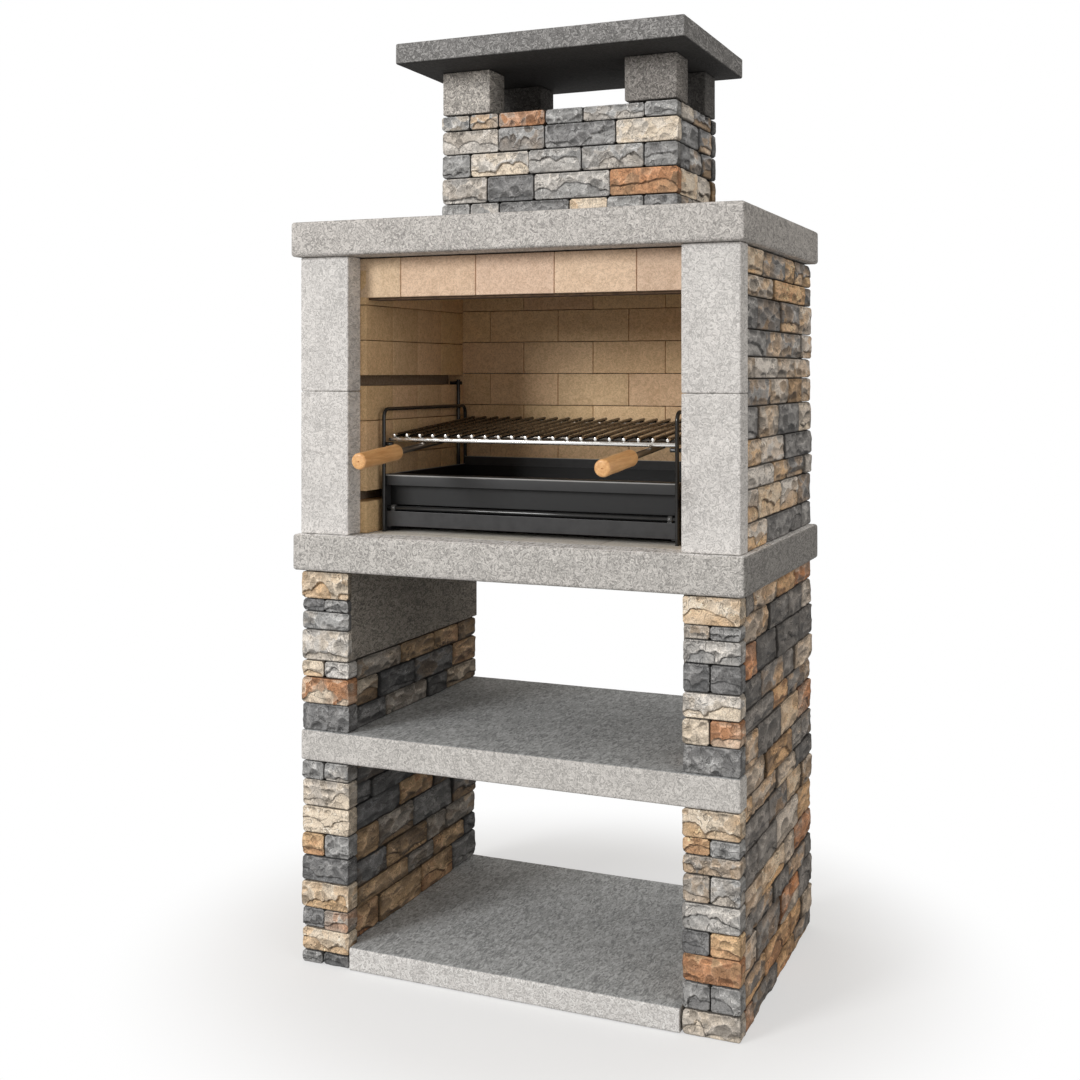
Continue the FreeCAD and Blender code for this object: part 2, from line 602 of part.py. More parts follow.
def build_brazier():
    """Side plates, back plate, front rail, ember tray with its grate, and runners."""
    plate_y = (BRAZIER_FRONT, BRAZIER_BACK)
    plate_z = (HEARTH_TOP, PLATE_TOP)
    inside = (TRAY_LEFT, TRAY_RIGHT)
    export("brazier_left_side", [box((SET_LEFT, TRAY_LEFT), plate_y, plate_z)])
    export("brazier_right_side", [box((TRAY_RIGHT, SET_RIGHT), plate_y, plate_z)])
    back_z = (HEARTH_TOP, PLATE_TOP + BACK_PLATE_RISE)
    export("brazier_back_plate", [box(inside, (TRAY_BACK, BRAZIER_BACK), back_z)])

    lip = box(inside, (BRAZIER_FRONT, TRAY_FRONT + SHEET), (PLATE_TOP - SHEET, PLATE_TOP))
    strip_z = (PLATE_TOP - FRONT_RAIL_HEIGHT, PLATE_TOP)
    strip = box(inside, (BRAZIER_FRONT, BRAZIER_FRONT + SHEET), strip_z)
    export("brazier_front_rail", [lip.fuse(strip).removeSplitter().Solids[0]])

    tray_y = (TRAY_FRONT, TRAY_BACK)
    tray = open_pan(inside, tray_y, (TRAY_FLOOR, PLATE_TOP - SHEET))
    edge = TRAY_LEDGE + SHEET
    well_y = (tray_y[0] + edge, tray_y[1] - edge)
    well = box((inside[0] + edge, inside[1] - edge), well_y, (TRAY_FLOOR, TRAY_FLOOR + SHEET))
    export("ember_tray", [tray.cut(well)])

    rim = SHEET + DRAWER_SIDE_CLEARANCE
    grate_x = (inside[0] + rim, inside[1] - rim)
    grate_y = (tray_y[0] + rim, tray_y[1] - rim)
    grate_z = (TRAY_FLOOR + SHEET, TRAY_FLOOR + SHEET + GRATE_THICKNESS)
    grate = box(grate_x, grate_y, grate_z)
    pitch = (grate_x[1] - grate_x[0] - 2 * GRATE_MARGIN - GRATE_SLOT) / (GRATE_SLOTS - 1)
    slot_y = (grate_y[0] + GRATE_MARGIN, grate_y[1] - GRATE_MARGIN)
    slots = []
    for index in range(GRATE_SLOTS):
        left = grate_x[0] + GRATE_MARGIN + index * pitch
        slots.append(box((left, left + GRATE_SLOT), slot_y, grate_z))
    export("ember_grate", [grate.cut(Part.makeCompound(slots)).Solids[0]])

    runners = []
    runner_y = (BRAZIER_FRONT + SHEET + SLIDING_GAP, TRAY_BACK)
    track = DRAWER_BOTTOM - SLIDING_GAP
    for wall, toward in ((TRAY_LEFT, 1), (TRAY_RIGHT, -1)):
        upright_x = sorted((wall, wall + toward * SHEET))
        upright = box(upright_x, runner_y, (track - SHEET, track + RUNNER_LEG))
        shelf_x = sorted((wall, wall + toward * RUNNER_LEG))
        shelf = box(shelf_x, runner_y, (track - SHEET, track))
        runners.append(upright.fuse(shelf).removeSplitter().Solids[0])
    export("drawer_runners", runners)


def build_drawer():
    """Ash drawer with its pull rod on two collars."""
    room = SHEET + DRAWER_SIDE_CLEARANCE
    pan_x = (TRAY_LEFT + room, TRAY_RIGHT - room)
    pan_y = (BRAZIER_FRONT, TRAY_BACK - DRAWER_REAR_CLEARANCE)
    pan = open_pan(pan_x, pan_y, (DRAWER_BOTTOM, DRAWER_TOP - SHEET))
    face_x = (TRAY_LEFT + DRAWER_SIDE_CLEARANCE, TRAY_RIGHT - DRAWER_SIDE_CLEARANCE)
    face = box(face_x, (BRAZIER_FRONT, BRAZIER_FRONT + SHEET), (DRAWER_BOTTOM, DRAWER_TOP))
    export("ash_drawer", [pan.fuse(face).removeSplitter().Solids[0]])

    axis = Vector(0, PULL_ROD_Y, PULL_ROD_Z)
    ends = [axis + Vector(x, 0, 0) for x in face_x]
    export("drawer_pull_rod", [rod(*ends, PULL_ROD)])
    collars = []
    for left in (face_x[0] + COLLAR_INSET, face_x[1] - COLLAR_INSET - COLLAR_LENGTH):
        right = left + COLLAR_LENGTH
        ends = [axis + Vector(x, 0, 0) for x in (left, right)]
        ring = rod(*ends, COLLAR_DIAMETER)
        lug_y = (BRAZIER_FRONT + SHEET, PULL_ROD_Y)
        lug = box((left, right), lug_y, (DRAWER_TOP - COLLAR_LENGTH, PULL_ROD_Z))
        bore = rod(*ends, PULL_ROD + BORE_GAP)
        collars.append(ring.fuse(lug).cut(bore).removeSplitter().Solids[0])
    export("pull_rod_collars", collars)


def on_grill(x, along, up):
    """Point given in the sloping plane of the grill, from the middle of its front bar."""
    middle = Vector(SET_CENTRE, GRILL_FRONT, HEARTH_TOP + GRILL_HEIGHT)
    return middle + Vector(x, 0, 0) + GRILL_RUN * along + GRILL_UP * up


def peg_height(y):
    """Height of a peg's middle at a given Y, just under the sloping ring."""
    ring_height = HEARTH_TOP + GRILL_HEIGHT + (y - GRILL_FRONT) * math.tan(GRILL_RISE)
    return ring_height - PEG_DROP / math.cos(GRILL_RISE)


def cross_rod(first_x, last_x, y, z):
    """Peg or pin that runs across the barbecue."""
    return thin_rod(Vector(first_x, y, z), Vector(last_x, y, z), FRAME_ROD, Vector(0, 0, 1))


def build_grill_frames():
    """Bent rods at both ends of the brazier and rear posts, with the welded pegs that carry the grill."""
    front_y = BRAZIER_FRONT - FRAME_ROD / 2
    rear_y = BRAZIER_BACK + FRAME_ROD / 2
    top = HEARTH_TOP + FRAME_TOP
    peg_y = front_y + FRAME_ROD
    post_y = BRAZIER_BACK - REAR_POST_FROM_BACK
    beside_post = (REAR_POST_ROD + FRAME_ROD) / 2
    pin_z = UPPER_GROOVE_FLOOR - BRICK_GAP + FRAME_ROD / 2
    for name, plate, out in (("left", SET_LEFT, -1), ("right", SET_RIGHT, 1)):
        x = plate - out * SHEET / 2
        corners = [
            Vector(x, front_y, HEARTH_TOP),
            Vector(x, front_y, top),
            Vector(x, rear_y, top),
            Vector(x, rear_y, HEARTH_TOP),
        ]
        frame = bent_rod(corners, FRAME_BEND, FRAME_ROD, Vector(0, 1, 0))
        inner = x - out * PEG_REACH
        peg = cross_rod(x + out * PEG_STUB, inner, peg_y, peg_height(peg_y))
        export(name + "_grill_frame", [frame, peg])

        post_x = x + out * beside_post
        post_foot = Vector(post_x, post_y, HEARTH_TOP)
        post_head = Vector(post_x, post_y, pin_z + REAR_POST_ROD)
        post = thin_rod(post_foot, post_head, REAR_POST_ROD, Vector(0, 1, 0))
        peg_y_rear = post_y - beside_post
        peg = cross_rod(post_x + out * REAR_POST_ROD / 2, inner, peg_y_rear, peg_height(peg_y_rear))
        pin_end = out * (LINING_FACE + PIN_IN_GROOVE)
        pin = cross_rod(pin_end, post_x - out * REAR_POST_ROD / 2, post_y + beside_post, pin_z)
        export(name + "_rear_post", [post, peg, pin])


def build_grill():
    """Welded grill ring with its bars, two arms and two wooden grips."""
    ring = []
    for along in (0, GRILL_DEPTH):
        ends = [on_grill(x, along, 0) for x in (-GRILL_HALF, GRILL_HALF)]
        ring.append(thin_rod(*ends, GRILL_RING_ROD, GRILL_UP))
    weld = GRILL_RING_ROD / 2
    for x in (weld - GRILL_HALF, GRILL_HALF - weld):
        ends = [on_grill(x, along, 0) for along in (weld, GRILL_DEPTH - weld)]
        ring.append(thin_rod(*ends, GRILL_RING_ROD, GRILL_UP))
    inner = GRILL_HALF - GRILL_RING_ROD
    ends = [on_grill(x, ARM_UNDER_GRILL, 0) for x in (-inner, inner)]
    ring.append(thin_rod(*ends, GRILL_RING_ROD, GRILL_UP))
    export("grill_ring", ring)

    lift = (GRILL_RING_ROD + GRILL_BAR_ROD) / 2
    pitch = 2 * (GRILL_HALF - GRILL_BAR_MARGIN) / (GRILL_BARS - 1)
    bars = []
    for index in range(GRILL_BARS):
        x = -GRILL_HALF + GRILL_BAR_MARGIN + index * pitch
        start = on_grill(x, -GRILL_BAR_END, lift)
        end = on_grill(x, GRILL_DEPTH + GRILL_BAR_END, lift)
        bars.append(thin_rod(start, end, GRILL_BAR_ROD, GRILL_UP))
    export("grill_bars", bars)

    drop = -(GRILL_RING_ROD + ARM_ROD) / 2
    tip = ARM_FREE + GRIP_LENGTH
    arms = []
    grips = []
    for x in (-GRILL_HALF + ARM_FROM_LEFT, GRILL_HALF - ARM_FROM_RIGHT):
        shoulder = on_grill(x, -ARM_FREE, drop)
        arm = rod(on_grill(x, ARM_UNDER_GRILL + ARM_ROD / 2, drop), shoulder, ARM_ROD)
        tang = rod(shoulder, on_grill(x, GRIP_HOLE - tip, drop), ARM_TANG)
        arms.append(arm.fuse(tang).removeSplitter().Solids[0])
        grip = rod(shoulder, on_grill(x, -tip, drop), GRIP_DIAMETER)
        grip = grip.makeChamfer(GRIP_EASE, [edge for edge in grip.Edges if edge.isClosed()])
        bore = rod(shoulder, on_grill(x, -tip, drop), ARM_TANG + BORE_GAP)
        grips.append(grip.cut(bore).Solids[0])
    export("grill_arms", arms)
    export("grill_grips", grips)


os.makedirs("parts", exist_ok=True)
build_slabs()
build_leg("left", -1, LEFT_UPPER_QUOINS, LEFT_LOWER_QUOINS, 1)
build_leg("right", 1, RIGHT_UPPER_QUOINS, RIGHT_LOWER_QUOINS, 4)
build_firebox()
build_chimney()
build_brazier()
build_drawer()
build_grill_frames()
build_grill()
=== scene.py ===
import math

import bpy
import numpy as np
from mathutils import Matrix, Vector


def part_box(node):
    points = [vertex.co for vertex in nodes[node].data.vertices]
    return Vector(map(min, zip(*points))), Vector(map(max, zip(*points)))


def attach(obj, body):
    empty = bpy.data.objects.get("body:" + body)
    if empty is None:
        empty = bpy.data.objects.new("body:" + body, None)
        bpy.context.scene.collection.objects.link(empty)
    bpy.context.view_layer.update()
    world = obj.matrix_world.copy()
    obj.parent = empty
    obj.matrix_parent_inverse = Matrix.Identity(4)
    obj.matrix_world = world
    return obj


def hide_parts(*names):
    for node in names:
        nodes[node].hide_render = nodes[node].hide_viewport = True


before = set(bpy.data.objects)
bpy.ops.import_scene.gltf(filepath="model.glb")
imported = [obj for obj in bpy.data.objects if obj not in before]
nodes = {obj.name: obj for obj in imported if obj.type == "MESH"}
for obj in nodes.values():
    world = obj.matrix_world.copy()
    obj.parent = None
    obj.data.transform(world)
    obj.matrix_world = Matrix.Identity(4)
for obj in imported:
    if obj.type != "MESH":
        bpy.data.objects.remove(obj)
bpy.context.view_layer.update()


# Base slab: a concrete plate that stands on the ground between the legs and runs in under their inner stones.
# It is cast in a mould, so its edges are soft and slightly uneven, and its top is trowelled smooth and painted darker
# as shade.

ROUND, BLUNT = (0.0, 0.35, 0.7, 1.0), (0.0, 0.5)


def grid_lines(low, high, step, edge, rise=ROUND):
    """Lines about a step apart, and closer ones near both ends where an edge is rounded."""
    if high - low < 3.2 * edge:
        return low + (high - low) * np.array([0.0, 0.16, 0.5, 0.84, 1.0])
    rounded = edge * np.array(rise)
    inner = edge * (1.5 if rise == ROUND else 1.0)
    count = max(2, round((high - low - 2 * inner) / step) + 1)
    return np.concatenate([low + rounded, np.linspace(low + inner, high - inner, count), high - rounded[::-1]])


def with_lines(lines, *extra):
    """Grid lines with some added, less those that come too close to them."""
    clear = np.all(np.abs(lines[:, None] - np.array(extra)) > 0.0004, axis=1)
    return np.sort(np.concatenate([lines[clear], extra]))


def middles(lines):
    """Middles of the cells between grid lines."""
    return (lines[1:] + lines[:-1]) / 2


def inside(lines, low, high):
    """Cells of the grid between two values."""
    return (middles(lines) > low) & (middles(lines) < high)


def lattice_skin(xs, ys, zs, filled=None):
    """Skin of the filled cells of a lattice: a quad wherever a filled cell meets an empty one, facing out."""
    counts = (len(xs), len(ys), len(zs))
    if filled is None:
        filled = np.ones([count - 1 for count in counts], bool)
    solid = np.pad(filled, 1).astype(int)
    number = np.arange(np.prod(counts)).reshape(counts)
    quads = []
    for axis in range(3):
        change = np.moveaxis(np.diff(solid, axis=axis), axis, 0)[:, 1:-1, 1:-1]
        grid = np.moveaxis(number, axis, 0)
        corners = np.stack([grid[:, :-1, :-1], grid[:, 1:, :-1], grid[:, 1:, 1:], grid[:, :-1, 1:]], axis=-1)
        if axis == 1:
            corners = corners[..., ::-1]
        quads += [corners[change < 0], corners[change > 0][:, ::-1]]
    used, quads = np.unique(np.concatenate(quads), return_inverse=True)
    points = np.stack(np.meshgrid(xs, ys, zs, indexing="ij"), axis=-1).reshape(-1, 3)
    return points[used], quads.reshape(-1, 4)


def round_off(points, low, high, radius):
    """Point on a box with rounded edges: the nearest point of the box less the radius, plus the radius outwards."""
    core = np.clip(points, np.add(low, radius), np.subtract(high, radius))
    out = points - core
    length = np.linalg.norm(out, axis=1, keepdims=True)
    return core + out * np.minimum(1.0, radius / np.maximum(length, 1e-9))


def normals_of(points, quads):
    """Normal of each point: the sum of the crossed diagonals of the quads around it, made one long."""
    corner = points[quads]
    facing = np.cross(corner[:, 2] - corner[:, 0], corner[:, 3] - corner[:, 1])
    total = np.zeros_like(points)
    for place in range(4):
        np.add.at(total, quads[:, place], facing)
    return total / np.maximum(np.linalg.norm(total, axis=1, keepdims=True), 1e-12)


def value_noise(points, seed):
    """Smooth noise from -1 to 1: a scrambled value at each whole-number place, blended between the places."""
    cell = np.floor(points).astype(np.int64)
    part = points - cell
    part = part * part * (3 - 2 * part)
    total = np.zeros(len(points))
    for corner in np.ndindex(2, 2, 2):
        at = cell + corner
        mixed = at[:, 0] * 73856093 ^ at[:, 1] * 19349663 ^ at[:, 2] * 83492791 ^ seed * 2654435
        mixed = (mixed ^ mixed >> 13) * 1274126177 & 0x7FFFFFFF
        mixed = (mixed ^ mixed >> 15) * 69069 & 0x7FFFFFFF
        weight = np.prod(np.where(np.array(corner, bool), part, 1 - part), axis=1)
        total += weight * ((mixed >> 8 & 0xFFFF) / 32767.5 - 1)
    return total


def fractal(points, size, seed, layers=3):
    """Noise with features of a size in metres, and finer, weaker layers of the same kind on top."""
    layered = [value_noise(points / size * 2 ** k, seed + k) / 2 ** k for k in range(layers)]
    return sum(layered) / sum(0.5 ** k for k in range(layers))


def add_object(name, data):
    """Object in the scene."""
    thing = bpy.data.objects.new(name, data)
    bpy.context.scene.collection.objects.link(thing)
    return thing


def make_piece(node, made, shells, material, body="masonry", sharp=50):
    """Piece that rides on a body in place of a CAD node: shells of points, arrays of faces and up to two colours of the
    points for its material, joined in one mesh. Edges of more than the sharp angle in degrees stay sharp."""
    starts = np.cumsum([0] + [len(shell[0]) for shell in shells])
    points = np.concatenate([shell[0] for shell in shells])
    faces = [group + start for shell, start in zip(shells, starts) for group in shell[1]]
    corners = np.concatenate([group.ravel() for group in faces]).astype(np.int32)
    sizes = np.concatenate([np.full(len(group), group.shape[1]) for group in faces])
    mesh = bpy.data.meshes.new(f"{node}_{made}")
    mesh.vertices.add(len(points))
    mesh.vertices.foreach_set("co", np.asarray(points, np.float32).ravel())
    mesh.loops.add(len(corners))
    mesh.loops.foreach_set("vertex_index", corners)
    mesh.polygons.add(len(sizes))
    mesh.polygons.foreach_set("loop_start", (np.cumsum(sizes) - sizes).astype(np.int32))
    mesh.update(calc_edges=True)
    mesh.shade_smooth()
    mesh.set_sharp_from_angle(angle=math.radians(sharp))
    for name, colours in zip(("tint", "scar"), zip(*[shell[2:] for shell in shells])):
        layer = mesh.color_attributes.new(name, "FLOAT_COLOR", "POINT")
        colours = np.column_stack([np.concatenate(colours), np.ones(len(points))])[:, :4]
        layer.data.foreach_set("color", colours.astype(np.float32).ravel())
    mesh.materials.append(material)
    piece = add_object(mesh.name, mesh)
    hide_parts(node)
    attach(piece, body)


def new_node(part, kind, inputs=None, output=0, **settings):
    """Output of a new shader node in the tree of a node or socket, with values or links for its inputs."""
    tree = part.id_data
    node = tree.nodes.new("ShaderNode" + kind)
    for key, value in settings.items():
        setattr(node, key, value)
    for key, value in (inputs or {}).items():
        if isinstance(value, bpy.types.NodeSocket):
            tree.links.new(value, node.inputs[key])
        else:
            node.inputs[key].default_value = value
    return node.outputs[output]


def new_material(name, roughness, metallic=0.0):
    """Material with its principled shader and its object coordinates."""
    material = bpy.data.materials.new(name)
    material.use_nodes = True
    shader = material.node_tree.nodes["Principled BSDF"]
    shader.inputs["Roughness"].default_value = roughness
    shader.inputs["Metallic"].default_value = metallic
    return material, shader, new_node(shader, "TexCoord", output="Object")


def noise(coords, scale, detail=3.0, roughness=0.55, distortion=0.0):
    """Noise with so many features to the metre."""
    inputs = {"Vector": coords, "Scale": scale, "Detail": detail, "Roughness": roughness, "Distortion": distortion}
    return new_node(coords, "TexNoise", inputs)


def between(value, low, high, out_low=0.0, out_high=1.0):
    """A value carried from one range to another and held at its ends."""
    inputs = {"Value": value, "From Min": low, "From Max": high, "To Min": out_low, "To Max": out_high}
    return new_node(value, "MapRange", inputs, interpolation_type="SMOOTHSTEP")


def mix(factor, first, second, kind="MIX"):
    """Two colours mixed by a factor. One of the first two is a socket."""
    part = factor if isinstance(factor, bpy.types.NodeSocket) else first
    return new_node(part, "Mix", {0: factor, 6: first, 7: second}, 2, data_type="RGBA", blend_type=kind)


def times(colour, *factors):
    """A colour times a number, or times one for each of its parts."""
    red, green, blue = factors if len(factors) == 3 else factors * 3
    return mix(1.0, colour, (red, green, blue, 1.0), "MULTIPLY")


def worked(operation, first, second=0.0):
    """Result of a sum on two values."""
    return new_node(first, "Math", {0: first, 1: second}, operation=operation)


def near(value, place, wide, most=1.0):
    """How near a value is to a place: the most on it, and nothing so wide of it."""
    return between(worked("ABSOLUTE", worked("SUBTRACT", value, place)), 0.0, wide, most, 0.0)


def part_of(vector, axis):
    """One coordinate of a vector."""
    return new_node(vector, "SeparateXYZ", {"Vector": vector}, axis)


def stretched(coords, scale, rotation=(0, 0, 0)):
    """Coordinates turned and scaled."""
    return new_node(coords, "Mapping", {"Vector": coords, "Rotation": rotation, "Scale": scale})


def link(socket, node, key):
    """Lead a socket to an input of a node."""
    node.id_data.links.new(socket, node.inputs[key])


def paint(shader, shade, height=None, depth=0.0):
    """Colour on a shader, and bump of a depth in metres if a height is given."""
    link(shade, shader, "Base Color")
    if height is not None:
        bump = new_node(shader, "Bump", {"Height": height, "Strength": 1.0, "Distance": depth})
        link(bump, shader, "Normal")


def shaded(colour, factor):
    """A colour made darker or paler."""
    return [min(1.0, factor * part) for part in colour] + [1.0]


def concrete(name, colour, contrast, top=None, pale=1.4):
    """Cast concrete: softly mottled, with short worm-like marks that stand out a little, fine sand, and small dark and
    pale grains. top is a colour for faces that look up, which are trowelled smooth; it is painted darker or paler than
    the sides for the light that the top catches. pale is the factor of pale marks."""
    material, shader, coords = new_material(name, 0.9)
    clouds = between(noise(coords, 16.0, 6.0, 0.65), 0.3, 0.7)
    shade = mix(clouds, shaded(colour, 0.95), shaded(colour, 1.12))
    drawn = stretched(coords, (1, 0.38, 1))
    worms = noise(drawn, 78.0, 2.0, 0.5, 2.0)
    for level, wide, factor in ((0.46, 0.07, 0.4), (0.56, 0.06, pale)):
        line = near(worms, level, wide, min(1.0, 2.2 * contrast))
        shade = mix(line, shade, shaded(colour, factor))
    sand = noise(coords, 340.0, 2.0)
    shade = mix(between(sand, 0.3, 0.55, contrast, 0.0), shade, shaded(colour, 0.35))
    shade = mix(between(sand, 0.55, 0.75, 0.0, contrast), shade, shaded(colour, 1.5))
    height = mix(0.35, worms, sand)
    if top is not None:
        smooth = mix(clouds, shaded(top, 0.88), shaded(top, 1.12))
        fine = noise(drawn, 150.0, 2.0, 0.5, 1.5)
        dark_marks = between(fine, 0.38, 0.48, min(1.0, 2.5 * contrast), 0.0)
        pale_marks = between(fine, 0.53, 0.62, 0.0, min(1.0, 2.2 * contrast))
        smooth = mix(dark_marks, smooth, shaded(top, 0.45))
        smooth = mix(pale_marks, smooth, shaded(top, 1.6))
        # Faces that look up take the top colour: a trowelled finish whose darker or paler colour is painted light and
        # shade.
        facing = part_of(new_node(shader, "NewGeometry", output="Normal"), "Z")
        trowelled = between(facing, 0.75, 0.97)
        shade = mix(trowelled, shade, smooth)
        height = mix(trowelled, height, (0.5, 0.5, 0.5, 1))
    paint(shader, shade, height, 0.003)
    return material


def box_skin(low, high, step, edge, hollow=None, rise=ROUND):
    """Skin of a box with rounded edges. hollow takes the grid lines and gives them back with the filled cells."""
    axes = [grid_lines(*ends, step, edge, rise) for ends in zip(low, high)]
    axes, filled = hollow(*axes) if hollow else (axes, None)
    points, quads = lattice_skin(*axes, filled)
    return round_off(points, low, high, edge), quads


def sunk(points, quads, depth, size, seed, layers=3):
    """Points moved in along their normals by up to a depth, in waves of a size."""
    inward = depth * (0.5 + 0.5 * fractal(points, size, seed, layers))
    return points - normals_of(points, quads) * inward[:, None]


WAVE_DEPTH, WAVE_SIZE = 0.0007, 0.05
PANEL_EDGE, SLAB_EDGE, THICK_EDGE = 0.003, 0.005, 0.007


def cast_piece(node, material, edge, seed, hollow=None, step=0.009):
    """Cast block in a node's box with rounded edges and faint waves."""
    points, quads = box_skin(*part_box(node), step, edge, hollow)
    points = sunk(points, quads, WAVE_DEPTH, WAVE_SIZE, seed)
    make_piece(node, "cast", [(points, [quads])], material)


def carved(*boxes):
    """Cut for a block: boxes, each three ranges, that are taken out of it."""
    def cut(*axes):
        ends = [np.unique([box[axis] for box in boxes]) for axis in range(3)]
        axes = [with_lines(lines, *places[np.isfinite(places)]) for lines, places in zip(axes, ends)]
        filled = np.ones([len(lines) - 1 for lines in axes], bool)
        for box in boxes:
            filled[np.ix_(*[inside(lines, *side) for lines, side in zip(axes, box)])] = False
        return axes, filled
    return cut


ALL = (-np.inf, np.inf)


def beside(left, right, depth):
    """Boxes to the left and the right of a width, through the full height."""
    return ((-np.inf, left), depth, ALL), ((right, np.inf), depth, ALL)


NOSE_HALF = 0.336
QUOIN_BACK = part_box("left_quoins")[1][1]
base_corners = beside(-NOSE_HALF, NOSE_HALF, (-np.inf, QUOIN_BACK))
# Its top colour is painted darker than its front as shade.
base_concrete = concrete("base_concrete", (0.74, 0.72, 0.70), 0.27, (0.46, 0.47, 0.475))
cast_piece("base_slab", base_concrete, SLAB_EDGE, 1, hollow=carved(*base_corners))


# Leg cores: plain concrete blocks inside the legs, which carry the slabs. They show only at the back, where the
# stones leave them bare.

def dress(node, material):
    """Give a CAD node that stays in view a material."""
    mesh = nodes[node].data
    mesh.materials.clear()
    mesh.materials.append(material)


core_concrete = concrete("core_concrete", (0.40, 0.38, 0.355), 0.36)
for side in ("left", "right"):
    dress(side + "_lower_core", core_concrete)
    dress(side + "_upper_core", core_concrete)


# Leg stones: split slate and sandstone, glued to the cores in courses with dry joints. Each is pitched by hand, so its
# face is cut back in scoops round the edges, and flakes struck off from below show the fresh stone, often rusty.

LEFT, RIGHT, FRONT, BACK = (0, -1), (0, 1), (1, -1), (1, 1)
FINE, COARSE = 0.0015, 0.0044
STONE_EDGE = 0.0034
STONE_CORNER = np.array([0.0055, 0.010, 0.0055])
STRETCH = np.array([1, 2.2, 1])
SMEAR, ADHESIVE = 0.0007, 0.0006
SCOOP_APART, SCOOP_REACH, SCOOP_DEPTH = 0.019, (0.008, 0.022), (0.0015, 0.008)
FLAKE_WIDTH, FLAKE_STEP, UNSCARRED = (0.022, 0.05), (0.003, 0.006), -0.01
SCAR_EDGE, SCAR_RUN, SHIFT, JAG = 0.0018, 0.018, 0.007, 0.0026
FADE_IN, RIDGE_WIDTH, RIM_WIDTH = 0.006, 0.0009, 0.002
PALEST = 0.9
# Pairs are for faces that look to a side, and for those that look to the front or the back.
# Some pairs paint light and shade: shade in hollows, rims paler or darker, facets paler when they look up and darker
# when they look down, and shade where a face turns into a joint.
SCARRED, BESIDE, SKIN_TONE, SHADOW = (0.3, 0.85), (0.6, 1.0), (1.7, 1.0), (75, 55)
RIM_WEAR_AND_LIGHT, TOP_LIGHT_PAINT, JOINT_SHADE_FROM = (-0.7, 0.3), (1.3, 0.85), (0.7, 0.45)
TINTS = {
    "dark": (0.100, 0.102, 0.105),
    "slate": (0.168, 0.167, 0.167),
    "grey": (0.290, 0.289, 0.285),
    "pale": (0.470, 0.448, 0.420),
    "cream": (0.600, 0.512, 0.405),
    "taupe": (0.370, 0.335, 0.295),
    "tan": (0.500, 0.340, 0.195),
    "rust": (0.360, 0.178, 0.088),
    "brown": (0.230, 0.158, 0.095),
}
LEFT_FRONT = """
    cream-tan slate-dark grey-slate grey-taupe pale-cream cream-tan pale-grey rust-cream slate-dark
    grey-slate grey-taupe taupe-cream cream-cream tan-rust grey-slate slate-dark cream-tan slate-slate taupe-rust
    cream-tan grey-slate slate-dark
"""
RIGHT_FRONT = """
    cream-tan taupe-tan grey-slate pale-grey slate-dark slate-slate pale-cream cream-cream rust-cream slate-grey
    cream-tan tan-rust grey-slate taupe-tan taupe-tan grey-taupe pale-grey slate-dark tan-rust rust-tan
    grey-slate grey-slate taupe-cream
"""
OUTSIDE = """
    slate-brown taupe-cream slate-dark tan-taupe grey-brown taupe-tan slate-grey rust-taupe slate-tan pale-taupe
    dark-slate cream-tan slate-slate tan-rust taupe-tan slate-tan brown-tan pale-tan
"""
INSIDE = """
    slate-dark dark-slate brown-tan slate-brown tan-brown taupe-brown dark-brown tan-rust dark-dark taupe-tan
    slate-grey cream-brown
"""


def islands_of(node):
    """Lowest and highest corner of each separate solid in a CAD node, from the top course down and left to right."""
    mesh = nodes[node].data
    points = np.empty(len(mesh.vertices) * 3)
    mesh.vertices.foreach_get("co", points)
    loops = np.empty(len(mesh.loops), np.int64)
    mesh.loops.foreach_get("vertex_index", loops)
    places, same = np.unique(np.round(points.reshape(-1, 3), 6), axis=0, return_inverse=True)
    triangles = same.reshape(-1)[loops].reshape(-1, 3)
    label, before = np.arange(len(places)), None
    while not np.array_equal(label, before):
        before = label.copy()
        np.minimum.at(label, triangles, before[triangles].min(axis=1, keepdims=True))
    groups = [places[label == island] for island in np.unique(label)]
    boxes = [(group.min(axis=0), group.max(axis=0)) for group in groups]
    return sorted(boxes, key=lambda box: (-round(box[1][2], 3), box[0][0], box[0][1]))


def flat_bed(points, quads, low, high, axis, bed):
    """Skin of a box with the many quads of its hidden bed as one face with many corners."""
    across, up = (axis + 1) % 3, (axis + 2) % 3
    on_bed = np.all(np.abs(points[quads][:, :, axis] - bed) < 1e-9, axis=1)
    used, kept = np.unique(quads[~on_bed], return_inverse=True)
    points = points[used]
    rim = np.nonzero(np.abs(points[:, axis] - bed) < 1e-9)[0]
    middle = (low + high) / 2
    turn = np.arctan2(points[rim, up] - middle[up], points[rim, across] - middle[across])
    rim = rim[np.argsort(turn if bed == high[axis] else -turn)]
    return points, [kept.reshape(-1, 4), rim[None, :]]


def round_corners(points, low, high, axis):
    """Stone's four corners rounded as seen along an axis: near a corner, rings of squares are made rings of circles."""
    reach = np.minimum(STONE_CORNER, 0.45 * (high - low))
    out = points - np.clip(points, low + reach, high - reach)
    out[:, axis] = 0
    ring = np.abs(out / reach)
    most = ring.max(axis=1)
    pull = most / np.maximum(np.linalg.norm(ring, axis=1), 1e-9)
    return points - out * (1 - pull * (most > 0))[:, None]


